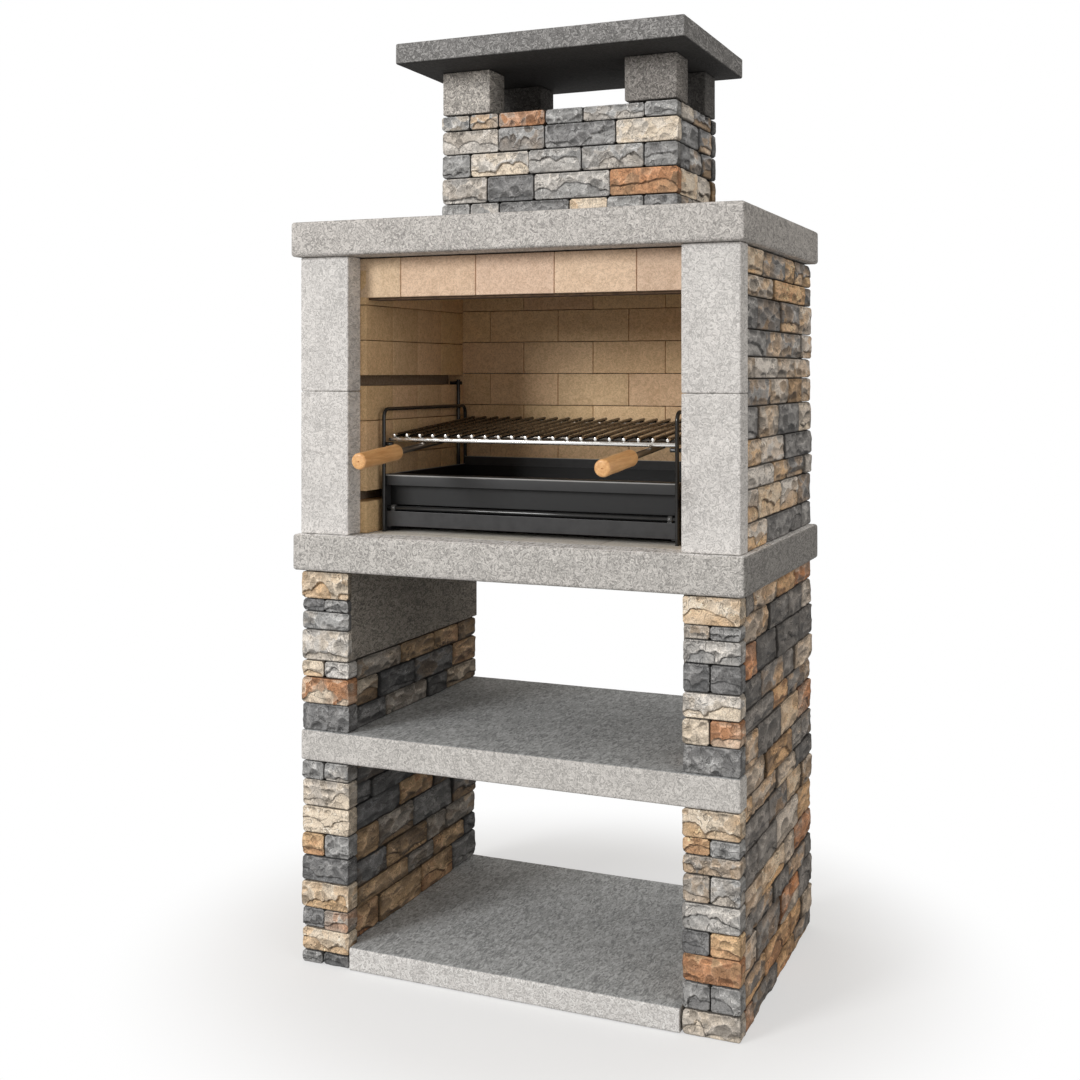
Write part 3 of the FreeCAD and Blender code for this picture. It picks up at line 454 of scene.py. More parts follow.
def stone_skin(low, high, faces, step, notch):
    """Skin of a stone's box, finer near its face. Where a notch is cut out of it the bed keeps its many quads."""
    axis, sign = faces[0]
    steps = step * np.array([1, 1.6 if axis == 0 else 1, 1])
    axes = [grid_lines(*ends, STONE_EDGE, BLUNT) for ends in zip(low, high, steps)]
    bed, face = (low[axis], high[axis]) if sign > 0 else (high[axis], low[axis])
    before = face - sign * STONE_EDGE * np.array([0, 0.5, 1, 2.5])
    behind = np.linspace(before[-1], bed, max(2, round(abs(bed - before[-1]) / (2.5 * step)) + 1))
    axes[axis] = np.sort(np.append(before, behind[1:] if len(faces) > 1 else bed))
    if notch is None or notch[0][2] >= high[2]:
        return flat_bed(*lattice_skin(*axes), low, high, axis, bed)
    cells = []
    for across in range(3):
        within = [side[across] for side in notch if low[across] < side[across] < high[across]]
        axes[across] = with_lines(axes[across], *within) if within else axes[across]
        cells.append(inside(axes[across], notch[0][across], notch[1][across]))
    points, quads = lattice_skin(*axes, ~(cells[0][:, None, None] & cells[1][:, None] & cells[2]))
    return points, [quads]


def spaced(count, draw):
    """Shares from 0 to 1, one drawn in each of so many equal parts."""
    return (np.arange(count) + draw.uniform(0.1, 0.9, count)) / count


def scoops(across, up, width, height, draw):
    """Depth of a face pitched off round its edges: the deepest of the scoops depth * (1 - (distance / reach)^2), most
    of them centred on the edges, and nothing where the old skin is left. Gives the depths, the scoop that each point
    lies in, how much deeper it is than the next, and the number of scoops with the skin as the last."""
    top, side, within = (max(1, round(size / SCOOP_APART)) for size in (width, height, width * height / 0.04))
    middle = draw.random((2, within))
    centre_across = width * np.concatenate([spaced(top, draw), spaced(top, draw), np.repeat([0, 1], side), middle[0]])
    centre_up = height * np.concatenate([np.repeat([0, 1], top), spaced(side, draw), spaced(side, draw), middle[1]])
    count = len(centre_up)
    reach = draw.uniform(*SCOOP_REACH, (2, count))
    depth = draw.uniform(*SCOOP_DEPTH, count) * np.repeat([1, 0.5, 0.6], [2 * top, 2 * side, within])
    distance = ((across[:, None] - centre_across) / reach[0]) ** 2 + ((up[:, None] - centre_up) / reach[1]) ** 2
    cuts = np.concatenate([depth * (1 - distance), np.zeros((len(up), 1))], axis=1)
    order = np.sort(cuts, axis=1)
    return order[:, -1], cuts.argmax(axis=1), order[:, -1] - order[:, -2], count + 1


def scars(across, up, width, height, draw):
    """Distance into the scars of flakes that were struck off from the lower edge: half ellipses side by side."""
    count = max(1, round(width / draw.uniform(*FLAKE_WIDTH)))
    half = width / count * draw.uniform(0.5, 1.1, count)
    top = height * draw.uniform(0.18, 0.66, count)
    out = np.sqrt(((across[:, None] - spaced(count, draw) * width) / half) ** 2 + (up[:, None] / top) ** 2)
    return np.max((1 - out) * np.minimum(half, top), axis=1)


def split_block(low, high, faces, tints, step, seed, tone_and_light_gain, wall, notch):
    """Stone in a box. Its open faces are pitched off in scoops round the edges, with sharp ridges between them. Most in
    front also have scars of flakes struck off from below: a sharp step in, and a fresh face in the second tint that
    comes forward again. Ridges and edges are painted paler, as wear and as painted highlight, and on side walls the
    edges are painted darker as shade. Hollows get painted shade, what looks up is painted paler as light from above,
    and what looks down or turns into a joint is painted darker as shade. Adhesive smeared on the sides narrows the
    joints and nearly closes them at the back, inside the wall's box. Gives the points, the faces, the tints, and the
    scars' tints with the distance into them in mm."""
    draw = np.random.default_rng(seed)
    main = faces[0][0]
    smear = SMEAR * (np.arange(3) != main)
    low, high = np.maximum(low - smear * (1, 1, 0), wall[0]), np.minimum(high + smear * (1, 1, 2), wall[1])
    points, groups = stone_skin(low, high, faces, step, notch)
    points = round_off(points, low, high, STONE_EDGE * draw.uniform(0.8, 1.1))
    points = round_corners(points, low, high, main)
    normals = normals_of(points, groups[0])
    height = high[2] - low[2]
    up = points[:, 2] - low[2]
    place = points / STRETCH
    jag = JAG * fractal(place, 0.007, seed + 10)
    shift = [SHIFT * fractal(place, 0.024, seed + 1) + jag, SHIFT * fractal(place, 0.02, seed + 2) - jag]
    stain, crest_wear_and_light, shadow, tone, open_to = np.zeros((5, len(points)))
    inside_scar = np.full(len(points), UNSCARRED)
    cuts = []
    for axis, sign in faces:
        facing = np.clip(sign * normals[:, axis], 0, 1)
        across = place[:, 1 - axis] - (low / STRETCH)[1 - axis]
        width = ((high - low) / STRETCH)[1 - axis]
        hollow, scoop, apart, count = scoops(across + shift[0], up + shift[1], width, height, draw)
        scar = scars(across + shift[1], up + shift[0], width, height, draw)
        if draw.random() > SCARRED[axis]:
            scar = np.full(len(points), UNSCARRED)
        fresh = np.clip(scar / SCAR_EDGE, 0, 1)
        step_in = fresh * draw.uniform(*FLAKE_STEP) * (1 - 0.8 * np.clip(scar / SCAR_RUN, 0, 1))
        from_sides = np.minimum(across, width - across) * BESIDE[axis]
        margin = np.min([from_sides, up, height - up], axis=0)
        fade = 0.6 + 0.4 * np.clip(margin / FADE_IN, 0, 1)
        hollow = hollow * fade * (1 - 0.7 * fresh)
        ridge = np.exp(-apart / RIDGE_WIDTH) * np.clip(0.65 + fractal(place, 0.012, seed + 3, 2), 0, 1)
        skin = np.append(draw.uniform(-0.22, 0.1, count - 1), 0.12) * SKIN_TONE[axis]
        cuts.append((1.0 if axis == main else 0.45) * (fade * step_in + hollow))
        # Painted shade in the hollows.
        shadow += facing * SHADOW[axis] * hollow
        # Ridges and rims painted paler as wear and as highlight; on side walls the rims get painted shade instead.
        crest_wear_and_light += facing * (ridge * fade * (1 - 0.6 * fresh) + RIM_WEAR_AND_LIGHT[axis] * np.exp(-margin / RIM_WIDTH))
        stain += facing * np.append(draw.uniform(-0.2, 0.6, count - 1), 0)[scoop]
        tone += facing * skin[scoop]
        inside_scar = np.where(facing > open_to, scar, inside_scar)
        open_to += facing
    open_to = np.clip(open_to, 0, 1)
    rough = 0.0003 + 0.0008 * (0.5 + 0.5 * fractal(place, 0.008, seed))
    points = points - normals * (rough * (0.35 + 0.65 * open_to))[:, None]
    share = (points - low) / (high - low)
    depths = [(high[axis] - points[:, axis]) if sign > 0 else (points[:, axis] - low[axis]) for axis, sign in faces]
    for (axis, sign), cut, depth in zip(faces, cuts, depths):
        points[:, axis] -= sign * cut * (1 - np.clip(depth / (high[axis] - low[axis]), 0, 1))
    spread = ADHESIVE * np.column_stack([2 * share[:, :2] - 1, 2 * share[:, 2]])
    spread[:, main] = 0
    deep = np.min(depths, axis=0) > 2 * STONE_EDGE
    points = np.where(deep[:, None], np.clip(points + spread, *wall), points)

    cloud = fractal(place, 0.02, seed + 8)
    patch = fractal(place, 0.045, seed + 9, 4)
    # Painted light from above: facets that look up are paler, those that look down darker.
    painted_top_light = TOP_LIGHT_PAINT[main] * np.clip(normals_of(points, groups[0])[:, 2], -0.6, 0.6) * open_to
    shade = (1 + 0.2 * cloud + tone) * (1 - 0.5 * np.clip(shadow, 0, 0.8)) * (1 + painted_top_light) * draw.uniform(0.92, 1.15)
    # Painted shade where a face turns away into a joint.
    shade = shade * (0.3 + 0.7 * np.clip(open_to / JOINT_SHADE_FROM[main], 0, 1))
    first, second = (tone_and_light_gain * np.array(TINTS[tint]) for tint in tints)
    colours = []
    for blend in (np.clip(stain + 0.6 * patch, 0, 0.8), np.clip(draw.uniform(0.45, 0.95) + 0.7 * patch, 0, 1)):
        colour = (first + (second - first) * blend[:, None]) * shade[:, None]
        colour = np.maximum(0, colour + (0.6 * colour + 0.06) * np.clip(crest_wear_and_light, -1, 1)[:, None])
        colours.append(colour / np.maximum(1, colour.max(axis=1, keepdims=True) / PALEST))
    return points, groups, colours[0], np.column_stack([colours[1], 1000 * inside_scar])


def layer_of(shader, name, output="Color"):
    """Colour or alpha of a layer of colours on the points."""
    return new_node(shader, "VertexColor", output=output, layer_name=name)


split_stone, shader, coords = new_material("split_stone", 0.82)
coords = stretched(coords, 1 / STRETCH)
into = layer_of(shader, "scar", "Alpha")
tint = mix(between(into, -0.2, 0.3), layer_of(shader, "tint"), layer_of(shader, "scar"))
tint = times(tint, 1.1)
ragged = between(noise(coords, 42.0), 0.4, 0.6)
chips = noise(coords, 48.0, 2.5, 0.5, 1.2)
# Painted shadow just inside each scar's step and a painted highlight on its lip; on the chips, a painted highlight
# beside a painted shadow, as if lit from one side.
marks = (into, 1.5, 2.6, 0.45), (into, -0.7, 0.9, 1.6), (chips, 0.53, 0.05, 0.55), (chips, 0.49, 0.024, 1.7)
for value, place, wide, factor in marks:
    line = worked("MULTIPLY", near(value, place, wide), ragged)
    tint = mix(line, tint, times(tint, factor))
veins = noise(coords, 120.0, 5.0, 0.65, 0.8)
grit = noise(coords, 420.0)
shade = mix(between(veins, 0.52, 0.72, 0.0, 0.6), tint, times(tint, 1.5, 1.46, 1.42))
shade = mix(between(grit, 0.36, 0.6, 0.5, 0.0), shade, times(tint, 0.4))
shade = mix(1.0, shade, (1.0, 0.93, 0.84, 1), "DARKEN")
height = mix(0.5, noise(coords, 200.0, 5.0, 0.65), between(chips, 0.49, 0.525, 1.0, 0.0))
paint(shader, shade, height, 0.0036)


def clad(node, front, tints, seed, step, tone_and_light_gain=1.0, notch=None):
    """Stones in the place of a CAD node's solids. front is the axis and side that they face, and the gain a number or
    one
    for each part of the colour: it sets the stones' tone and paints in light and shade, paler on walls that face the
    side and darker on the bay's inner wall. Stones at the ends of a wall that faces the front or the back show their
    ends too."""
    pairs = [pair.split("-") for pair in tints.split()]
    if tints in (OUTSIDE, INSIDE):
        pairs = [pairs[place] for place in np.random.default_rng(seed).integers(0, len(pairs), 200)]
    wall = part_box(node)
    shells = []
    for index, (low, high) in enumerate(islands_of(node)):
        at_end = (LEFT, low[0] < wall[0][0] + 0.001), (RIGHT, high[0] > wall[1][0] - 0.001)
        faces = [front] + [side for side, shown in at_end if shown and front in (FRONT, BACK)]
        shells.append(split_block(low, high, faces, pairs[index], step, seed * 1000 + index, tone_and_light_gain, wall, notch))
    make_piece(node, "split", shells, split_stone, sharp=28)


# Gains are partly painted light and shade: side walls are made paler and the left bay wall darker for the light each
# catches.
clad("left_outer_stones", LEFT, OUTSIDE, 21, COARSE, 1.2)
clad("left_inner_stones", RIGHT, INSIDE, 22, 0.0021, 0.75)
clad("left_quoins", FRONT, LEFT_FRONT, 23, FINE, 1.11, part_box("left_bearer"))
clad("right_outer_stones", RIGHT, OUTSIDE, 24, 0.00215, (1.2, 1.1, 1.0))
clad("right_inner_stones", LEFT, INSIDE, 25, COARSE)
clad("right_quoins", FRONT, RIGHT_FRONT, 26, FINE, 1.11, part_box("right_bearer"))


# Shelf: a cast slab across both legs at knee height. Its ears cover the corner stones in front, and further back
# it runs only to the cores, so that the side stones pass it.

CORE_HALF = 0.426
shelf_corners = beside(-CORE_HALF, CORE_HALF, (QUOIN_BACK, np.inf))
# Its top colour is painted darker than its front as shade under the hearth.
shelf_concrete = concrete("shelf_concrete", (0.61, 0.59, 0.565), 0.27, (0.41, 0.42, 0.425))
cast_piece("shelf_slab", shelf_concrete, SLAB_EDGE, 2, hollow=carved(*shelf_corners))


# Bearers: concrete panels glued to the inner faces of the upper legs, under the hearth, which rests on them. They lie
# in the shade, and their colour is painted darker than the slabs' as that shade.

bearer_concrete = concrete("bearer_concrete", (0.255, 0.231, 0.2), 0.6)
cast_piece("left_bearer", bearer_concrete, PANEL_EDGE, 3)
cast_piece("right_bearer", bearer_concrete, PANEL_EDGE, 4)


# Hearth: a thick cast slab with rounded corners that overhangs the legs. The firebox floor is let into it as
# firebrick tiles, flush with the top.

TILE_JOINT = 0.001
MORTAR = 0.0006


def inset(node, size):
    """Ranges of a node's box across and in depth, so far in from its sides."""
    return [(low + size, high - size) for low, high in zip(*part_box(node))][:2]


def soot_and_shade(material, axis, clean, black, most):
    """Blacken a concrete between two places on an axis, by a share at most, as smoke stain and as painted shade."""
    shader = material.node_tree.nodes["Principled BSDF"]
    clean_shade = shader.inputs["Base Color"].links[0].from_socket
    place = part_of(new_node(shader, "TexCoord", output="Object"), axis)
    blackening = between(place, clean, black, 0.0, most)
    paint(shader, mix(blackening, clean_shade, (0.012, 0.011, 0.01, 1)))


def shade_right_end(material, node, most):
    """Darken the right end of a slab with painted shade, as it looks dull."""
    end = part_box(node)[1][0]
    soot_and_shade(material, "X", end - 0.005, end - 0.001, most)


# Its top colour is painted paler than its front as light on the top.
hearth_concrete = concrete("hearth_concrete", (0.55, 0.53, 0.505), 0.36, (0.80, 0.78, 0.76))
# Painted shade on the hearth's right end.
shade_right_end(hearth_concrete, "hearth_slab", 0.5)
tile_pocket = *inset("hearth_floor_tiles", -TILE_JOINT), (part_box("hearth_floor_tiles")[0][2], np.inf)
cast_piece("hearth_slab", hearth_concrete, THICK_EDGE, 5, hollow=carved(tile_pocket))

firebrick, shader, coords = new_material("firebrick", 0.92)
tint = layer_of(shader, "tint")
blotch = noise(coords, 38.0, 4.0)
grain = noise(coords, 420.0)
shade = mix(between(blotch, 0.3, 0.7, 0.0, 0.22), tint, times(tint, 0.72, 0.64, 0.56))
shade = mix(between(grain, 0.34, 0.6, 0.4, 0.0), shade, times(tint, 0.45, 0.38, 0.3))
worms = noise(coords, 78.0, 2.0, 0.5, 2.0)
shade = mix(between(worms, 0.4, 0.47, 0.25, 0.0), shade, times(tint, 0.6, 0.54, 0.46))
shade = mix(between(worms, 0.53, 0.6, 0.0, 0.25), shade, times(tint, 1.2))
paint(shader, shade, grain, 0.0006)


def brick_set(node, colour, edge, seed):
    """Pressed firebricks in the place of a CAD node's boxes, each with rounded edges and a tint of its own. Mortar is
    smeared on their sides, so that the joints look narrower."""
    draw = np.random.default_rng(seed)
    set_low, set_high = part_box(node)
    shells = []
    for low, high in islands_of(node):
        low, high = np.maximum(low - MORTAR, set_low), np.minimum(high + MORTAR, set_high)
        points, quads = box_skin(low, high, 0.02, edge, rise=BLUNT)
        points = sunk(points, quads, 0.0006, 0.03, seed, 2)
        own = colour * draw.uniform(0.93, 1.05) * np.array([1, draw.uniform(0.97, 1.02), draw.uniform(0.94, 1.03)])
        shells.append((points, [quads], np.tile(own, (len(points), 1))))
    make_piece(node, "pressed", shells, firebrick)


# The tiles' pale grey is partly painted light on the top.
brick_set("hearth_floor_tiles", np.array([0.80, 0.77, 0.73]), 0.001, 50)


# Firebox: two-part concrete jambs in front, walls at the sides and the back, a lining of firebricks with two grooves
# to slide a plate into, and a brick lintel that sits on a steel angle. Split stones clad the side walls.

jamb_concrete = concrete("jamb_concrete", (0.69, 0.67, 0.65), 0.24)
for place, node in enumerate(("left_lower_jamb", "left_upper_jamb", "right_lower_jamb", "right_upper_jamb")):
    cast_piece(node, jamb_concrete, 0.0035, 10 + place)


def matt(name, dark, pale, scale):
    """Matt material between two colours, with noise of so many features to the metre."""
    material, shader, coords = new_material(name, 0.95)
    grain = noise(coords, scale)
    shade = mix(between(grain, 0.3, 0.7), (*dark, 1), (*pale, 1))
    paint(shader, shade, grain, 0.0006)
    return material


fire_cement = matt("fire_cement", (0.22, 0.165, 0.115), (0.32, 0.25, 0.18), 180.0)
dress("left_firebox_wall", fire_cement)
dress("right_firebox_wall", fire_cement)
slab_concrete = concrete("slab_concrete", (0.565, 0.54, 0.515), 0.36)
cast_piece("back_firebox_wall", slab_concrete, 0.004, 15, step=0.03)
LINING, LINING_EDGE = np.array([0.80, 0.57, 0.345]), 0.0012
brick_set("left_lining_bricks", LINING * (1.0, 0.99, 0.95), LINING_EDGE, 51)
brick_set("right_lining_bricks", LINING, LINING_EDGE, 52)
brick_set("back_lining_bricks", LINING, LINING_EDGE, 53)
brick_set("lintel_bricks", np.array([0.80, 0.61, 0.44]), 0.002, 54)

dress("lintel_angle", matt("rusty_steel", (0.06, 0.035, 0.02), (0.12, 0.075, 0.042), 90.0))

clad("left_firebox_stones", LEFT, OUTSIDE, 27, COARSE, 1.5)
clad("right_firebox_stones", RIGHT, OUTSIDE, 28, 0.0018, (1.5, 1.46, 1.42))


# Mantel: a thick cast slab with rounded corners that lies on the jambs and the walls of the firebox, with a hole for
# the flue.

FLUE_HOLE = (-0.1935, 0.1935), (0.0125, 0.1575), ALL
# Painted shade on the mantel's right end.
shade_right_end(slab_concrete, "mantel_slab", 0.2)
cast_piece("mantel_slab", slab_concrete, THICK_EDGE, 6, hollow=carved(FLUE_HOLE))


# Chimney: a concrete flue clad with split stones. Four short concrete posts hold up a dark cast cap, and the smoke
# leaves between them.

dress("flue_walls", matt("sooty_concrete", (0.04, 0.038, 0.036), (0.10, 0.097, 0.092), 90.0))
CHIMNEY_FRONT = """
    grey-cream grey-tan rust-taupe grey-grey grey-taupe grey-slate
    taupe-pale grey-brown slate-grey cream-pale
    grey-slate pale-cream grey-pale grey-taupe slate-grey
    taupe-grey slate-dark pale-grey rust-brown
    grey-slate grey-taupe slate-slate cream-tan grey-slate slate-dark
"""
clad("chimney_front_stones", FRONT, CHIMNEY_FRONT, 31, FINE, 1.28)
clad("chimney_back_stones", BACK, OUTSIDE, 32, 0.004)
clad("chimney_left_stones", LEFT, OUTSIDE, 33, 0.004, 1.4)
clad("chimney_right_stones", RIGHT, OUTSIDE, 34, FINE, (1.75, 1.78, 1.82))

POST_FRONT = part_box("front_left_cap_post")[0][1]
CAP_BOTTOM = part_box("chimney_cap")[0][2]
# The posts' colours are painted light and shade: the front left post paler as lit, the front right darker, the rear
# ones darkest in the shade under the cap.
post_light_and_shade = {"front_left": (0.46, 0.43, 0.395), "front_right": (0.24, 0.224, 0.208)}
for place, node in enumerate(("front_left", "front_right", "rear_left", "rear_right")):
    post = concrete(node + "_post", post_light_and_shade.get(node, (0.17, 0.162, 0.154)), 0.42, pale=1.9)
    # The post backs are blackened as smoke stain and painted shade.
    soot_and_shade(post, "Y", POST_FRONT + 0.004, POST_FRONT + 0.09, 0.5)
    cast_piece(node + "_cap_post", post, PANEL_EDGE, 40 + place)
cap_concrete = concrete("cap_concrete", (0.218, 0.214, 0.21), 0.34, pale=2.3)
# The cap's underside is blackened as smoke stain and painted shade.
soot_and_shade(cap_concrete, "Z", CAP_BOTTOM + 0.004, CAP_BOTTOM + 0.001, 0.94)
cast_piece("chimney_cap", cap_concrete, 0.0045, 45)


# Brazier: a box of 2 mm sheet steel in black heat-resistant paint, with a thin painted highlight along the top edges.
# Two side plates and a taller back plate are welded round an ember tray, a folded rail closes the front, and the grate
# lies on a ledge in the tray's floor.

SHEET, SHEET_EDGE = 0.002, 0.0008
LEDGE = 0.018
FOLD = 0.005
GRATE_SLOTS, GRATE_SLOT, GRATE_MARGIN = 15, 0.010, 0.030
EDGE_HIGHLIGHT, FOLD_HIGHLIGHT_DROP = 0.0016, 0.0024


def painted_steel(name, dark, pale, rough, edge=None):
    """Black paint on steel between two greys, a little scuffed, so that it shines unevenly. Where an edge at a height
    is given, a thin pale line along it is a painted highlight."""
    material, shader, coords = new_material(name, rough)
    shader.inputs["Specular IOR Level"].default_value = 0.3
    scuffs = noise(coords, 60.0, 5.0, 0.6)
    shade = mix(scuffs, (dark, dark, 1.04 * dark, 1), (pale, pale, 1.04 * pale, 1))
    if edge is not None:
        # A thin pale line along the edge: a painted highlight.
        bare = near(part_of(coords, "Z"), edge, EDGE_HIGHLIGHT)
        shade = mix(bare, shade, (0.42, 0.42, 0.41, 1))
    paint(shader, shade)
    link(between(scuffs, 0.3, 0.7, 0.85 * rough, 1.15 * rough), shader, "Roughness")
    return material


black_steel = painted_steel("black_steel", 0.028, 0.048, 0.34)
burnt_steel = painted_steel("burnt_steel", 0.006, 0.012, 0.45)


def sheet_piece(node, hollow=None, body="masonry", material=black_steel):
    """Sheet-steel piece in a node's box, with its outer edges rounded."""
    points, quads = box_skin(*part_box(node), 0.06, SHEET_EDGE, hollow)
    make_piece(node, "sheet", [(points, [quads])], material, body)


def slotted(xs, ys, zs):
    """Grate: a plate with a row of slots."""
    (left, right), depth = inset("ember_grate", GRATE_MARGIN)
    first = np.linspace(left, right - GRATE_SLOT, GRATE_SLOTS)
    xs = np.concatenate([xs[:4], np.sort(np.concatenate([first, first + GRATE_SLOT])), xs[-4:]])
    ys = with_lines(ys, *depth)
    across = np.any([inside(xs, start, start + GRATE_SLOT) for start in first], axis=0)
    slots = across[:, None] & inside(ys, *depth)
    return (xs, ys, zs), np.repeat(~slots[:, :, None], len(zs) - 1, axis=2)


def ring_quads(rings, count, closed=False):
    """Numbers of the points in rings of so many, and the quads between each ring and the next."""
    ring = np.arange(rings * count).reshape(rings, count)
    line = np.concatenate([ring, ring[:1]]) if closed else ring
    after = np.roll(line, -1, axis=1)
    return ring, np.stack([line[:-1], after[:-1], after[1:], line[1:]], axis=-1).reshape(-1, 4)


for node in ("brazier_left_side", "brazier_right_side", "brazier_back_plate"):
    sheet_piece(node, material=painted_steel(node + "_steel", 0.028, 0.048, 0.34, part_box(node)[1][2]))

(rail_left, front, bottom), (rail_right, back, top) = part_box("brazier_front_rail")
turn = np.linspace(0, np.pi / 2, 9)
fold = np.column_stack([1 - np.cos(turn), np.sin(turn) - 1])
outer_fold = (front, top) + FOLD * fold
inner_fold = (front + FOLD, top - FOLD) + (FOLD - SHEET) * (fold + (-1, 1))
section = np.concatenate([
    [(front, bottom)], outer_fold, [(back, top), (back, top - SHEET)], inner_fold[::-1], [(front + SHEET, bottom)],
])
points = np.concatenate([np.column_stack([np.full(len(section), x), section]) for x in (rail_left, rail_right)])
ring, quads = ring_quads(2, len(section))
# The painted highlight runs along the rail's fold.
rail_steel = painted_steel("rail_steel", 0.013, 0.023, 0.42, top - FOLD_HIGHLIGHT_DROP)
rail = (points, [quads[:, ::-1], ring[:1], ring[1:, ::-1]])
make_piece("brazier_front_rail", "sheet", [rail], rail_steel)
tray_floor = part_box("ember_tray")[0][2] + SHEET
tray_room = *inset("ember_tray", SHEET), (tray_floor, np.inf)
tray_well = *inset("ember_tray", LEDGE), (-np.inf, tray_floor)
sheet_piece("ember_tray", carved(tray_room, tray_well), material=burnt_steel)
sheet_piece("ember_grate", slotted, material=burnt_steel)
dress("drawer_runners", black_steel)


# Ash drawer: a sheet-steel pan that slides out on two runners. Its front is wider and higher by a sheet's thickness,
# with a short seam at the top, and a round steel rod in two collars on it is the handle.

FACE_SPARE = 0.002
SEAM, SEAM_HALF = 0.008, 0.0008
BORE, COLLAR, COLLAR_EASE = 0.00455, 0.007, 0.0006


def tube(centres, side, up, radii, count=24):
    """Round skin about a line of centres: centre + radius * (side * cos + up * sin), with a flat at each end."""
    turn = np.linspace(0, 2 * np.pi, count, endpoint=False)[:, None]
    spokes = np.cos(turn) * np.expand_dims(side, -2) + np.sin(turn) * np.expand_dims(up, -2)
    points = centres[:, None, :] + radii[:, None, None] * spokes
    ring, quads = ring_quads(len(centres), count)
    return points.reshape(-1, 3), [quads, np.stack([ring[0, ::-1], ring[-1]])]


def unit(vectors):
    """Vectors made one long."""
    return vectors / np.linalg.norm(vectors, axis=-1, keepdims=True)


def turned(start, end, stations, radii, count=24):
    """Turned piece on a straight axis: its radius at stations measured from the start."""
    along = unit(end - start)
    side = unit(np.cross(along, np.eye(3)[np.argmin(np.abs(along))]))
    centres = start + np.array(stations)[:, None] * along
    return tube(centres, side, np.cross(along, side), np.array(radii), count)


def straight_rod(start, end, radius, ease=0.0008):
    """Straight round rod with eased ends."""
    length = np.linalg.norm(end - start)
    stations = [0, 0.3 * ease, ease, length - ease, length - 0.3 * ease, length]
    return turned(start, end, stations, radius - np.array([ease, 0.3 * ease, 0, 0, 0.3 * ease, ease]))


def rod_in_box(low, high):
    """Straight rod that fills a long box."""
    low, high = np.array([low, high])
    axis = np.argmax(high - low)
    start, end = np.tile((low + high) / 2, (2, 1))
    start[axis], end[axis] = low[axis], high[axis]
    return straight_rod(start, end, np.min(high - low) / 2)


def plain(name, colour, roughness, metallic=0.0):
    """Material of one colour."""
    material, shader, coords = new_material(name, roughness, metallic)
    shader.inputs["Base Color"].default_value = (*colour, 1)
    return material


gloss_black = plain("gloss_black", (0.02, 0.0205, 0.021), 0.15)
rubbed_black = plain("rubbed_black", (0.07, 0.07, 0.069), 0.25)
(left, front, bottom), (right, back, top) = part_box("ash_drawer")
left, right, behind, rim = left + FACE_SPARE, right - FACE_SPARE, (front + SHEET, np.inf), (top - SHEET, np.inf)
beside_pan = beside(left, right, behind)
over_pan = ALL, behind, rim
in_pan = (left + SHEET, right - SHEET), (front + SHEET, back - SHEET), (bottom + SHEET, np.inf)
seam = (SEAM - SEAM_HALF, SEAM + SEAM_HALF), (-np.inf, front + SHEET / 2), rim
rod_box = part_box("drawer_pull_rod")
sheet_piece("ash_drawer", carved(*beside_pan, over_pan, in_pan, seam), "ash_drawer")
make_piece("drawer_pull_rod", "drawn", [rod_in_box(*rod_box)], gloss_black, "ash_drawer")

rod_middle = np.mean(rod_box, axis=0)
turn = np.linspace(0, 2 * np.pi, 32, endpoint=False)
shells = []
for low, high in islands_of("pull_rod_collars"):
    left, right = low[0], high[0]
    across = np.array([left, left, left + COLLAR_EASE, right - COLLAR_EASE, right, right])[:, None]
    reach = np.array([BORE, COLLAR - COLLAR_EASE, COLLAR, COLLAR, COLLAR - COLLAR_EASE, BORE])[:, None]
    depth, height = rod_middle[1] + reach * np.cos(turn), rod_middle[2] + reach * np.sin(turn)
    points = np.stack(np.broadcast_arrays(across, depth, height), axis=-1).reshape(-1, 3)
    shells.append((points, [ring_quads(len(reach), len(turn), closed=True)[1]]))
    points, quads = box_skin(low, (right, rod_middle[1], rod_middle[2] - BORE), 0.004, COLLAR_EASE)
    shells.append((points, [quads]))
make_piece("pull_rod_collars", "drawn", shells, rubbed_black, "ash_drawer")


# Grill frames: round steel rods bent to a U upside down at both ends of the brazier, and a post behind each, pinned
# into the upper groove of the lining. Short welded pegs on them carry the grill.

BEND = 0.016


def bent_rod(corners, radius):
    """Rod through corners in one upright plane across X, bent round each on a quarter arc."""
    turn = np.linspace(0, np.pi / 2, 9)[:, None]
    path = [corners[:1]]
    for before, corner, after in zip(corners, corners[1:], corners[2:]):
        back, ahead = unit(before - corner), unit(after - corner)
        path.append(corner + BEND * (back * (1 - np.sin(turn)) + ahead * (1 - np.cos(turn))))
    path = np.concatenate(path + [corners[-1:]])
    steps = unit(np.diff(path, axis=0))
    along = unit(np.concatenate([steps[:1], steps[1:] + steps[:-1], steps[-1:]]))
    side = np.tile([1.0, 0.0, 0.0], (len(path), 1))
    return tube(path, side, np.cross(along, side), np.full(len(path), radius))


for side in ("left", "right"):
    (low, high), *pegs = sorted(islands_of(side + "_grill_frame"), key=lambda box: box[0][2] - box[1][2])
    radius = (high[0] - low[0]) / 2 * math.cos(math.pi / 12)
    x = (low[0] + high[0]) / 2
    front, rear, top = low[1] + radius, high[1] - radius, high[2] - radius
    corners = np.array([(x, front, low[2]), (x, front, top), (x, rear, top), (x, rear, low[2])])
    shells = [bent_rod(corners, radius)] + [rod_in_box(*peg) for peg in pegs]
    make_piece(side + "_grill_frame", "drawn", shells, gloss_black)
    shells = [rod_in_box(*rod) for rod in islands_of(side + "_rear_post")]
    make_piece(side + "_rear_post", "drawn", shells, gloss_black)


# Grill: stainless wire welded to a ring, sloping down towards the front, with two steel arms that run forward into
# turned wooden grips. The bars have gone brown over the fire, and their cut ends and the front bar are still bright.

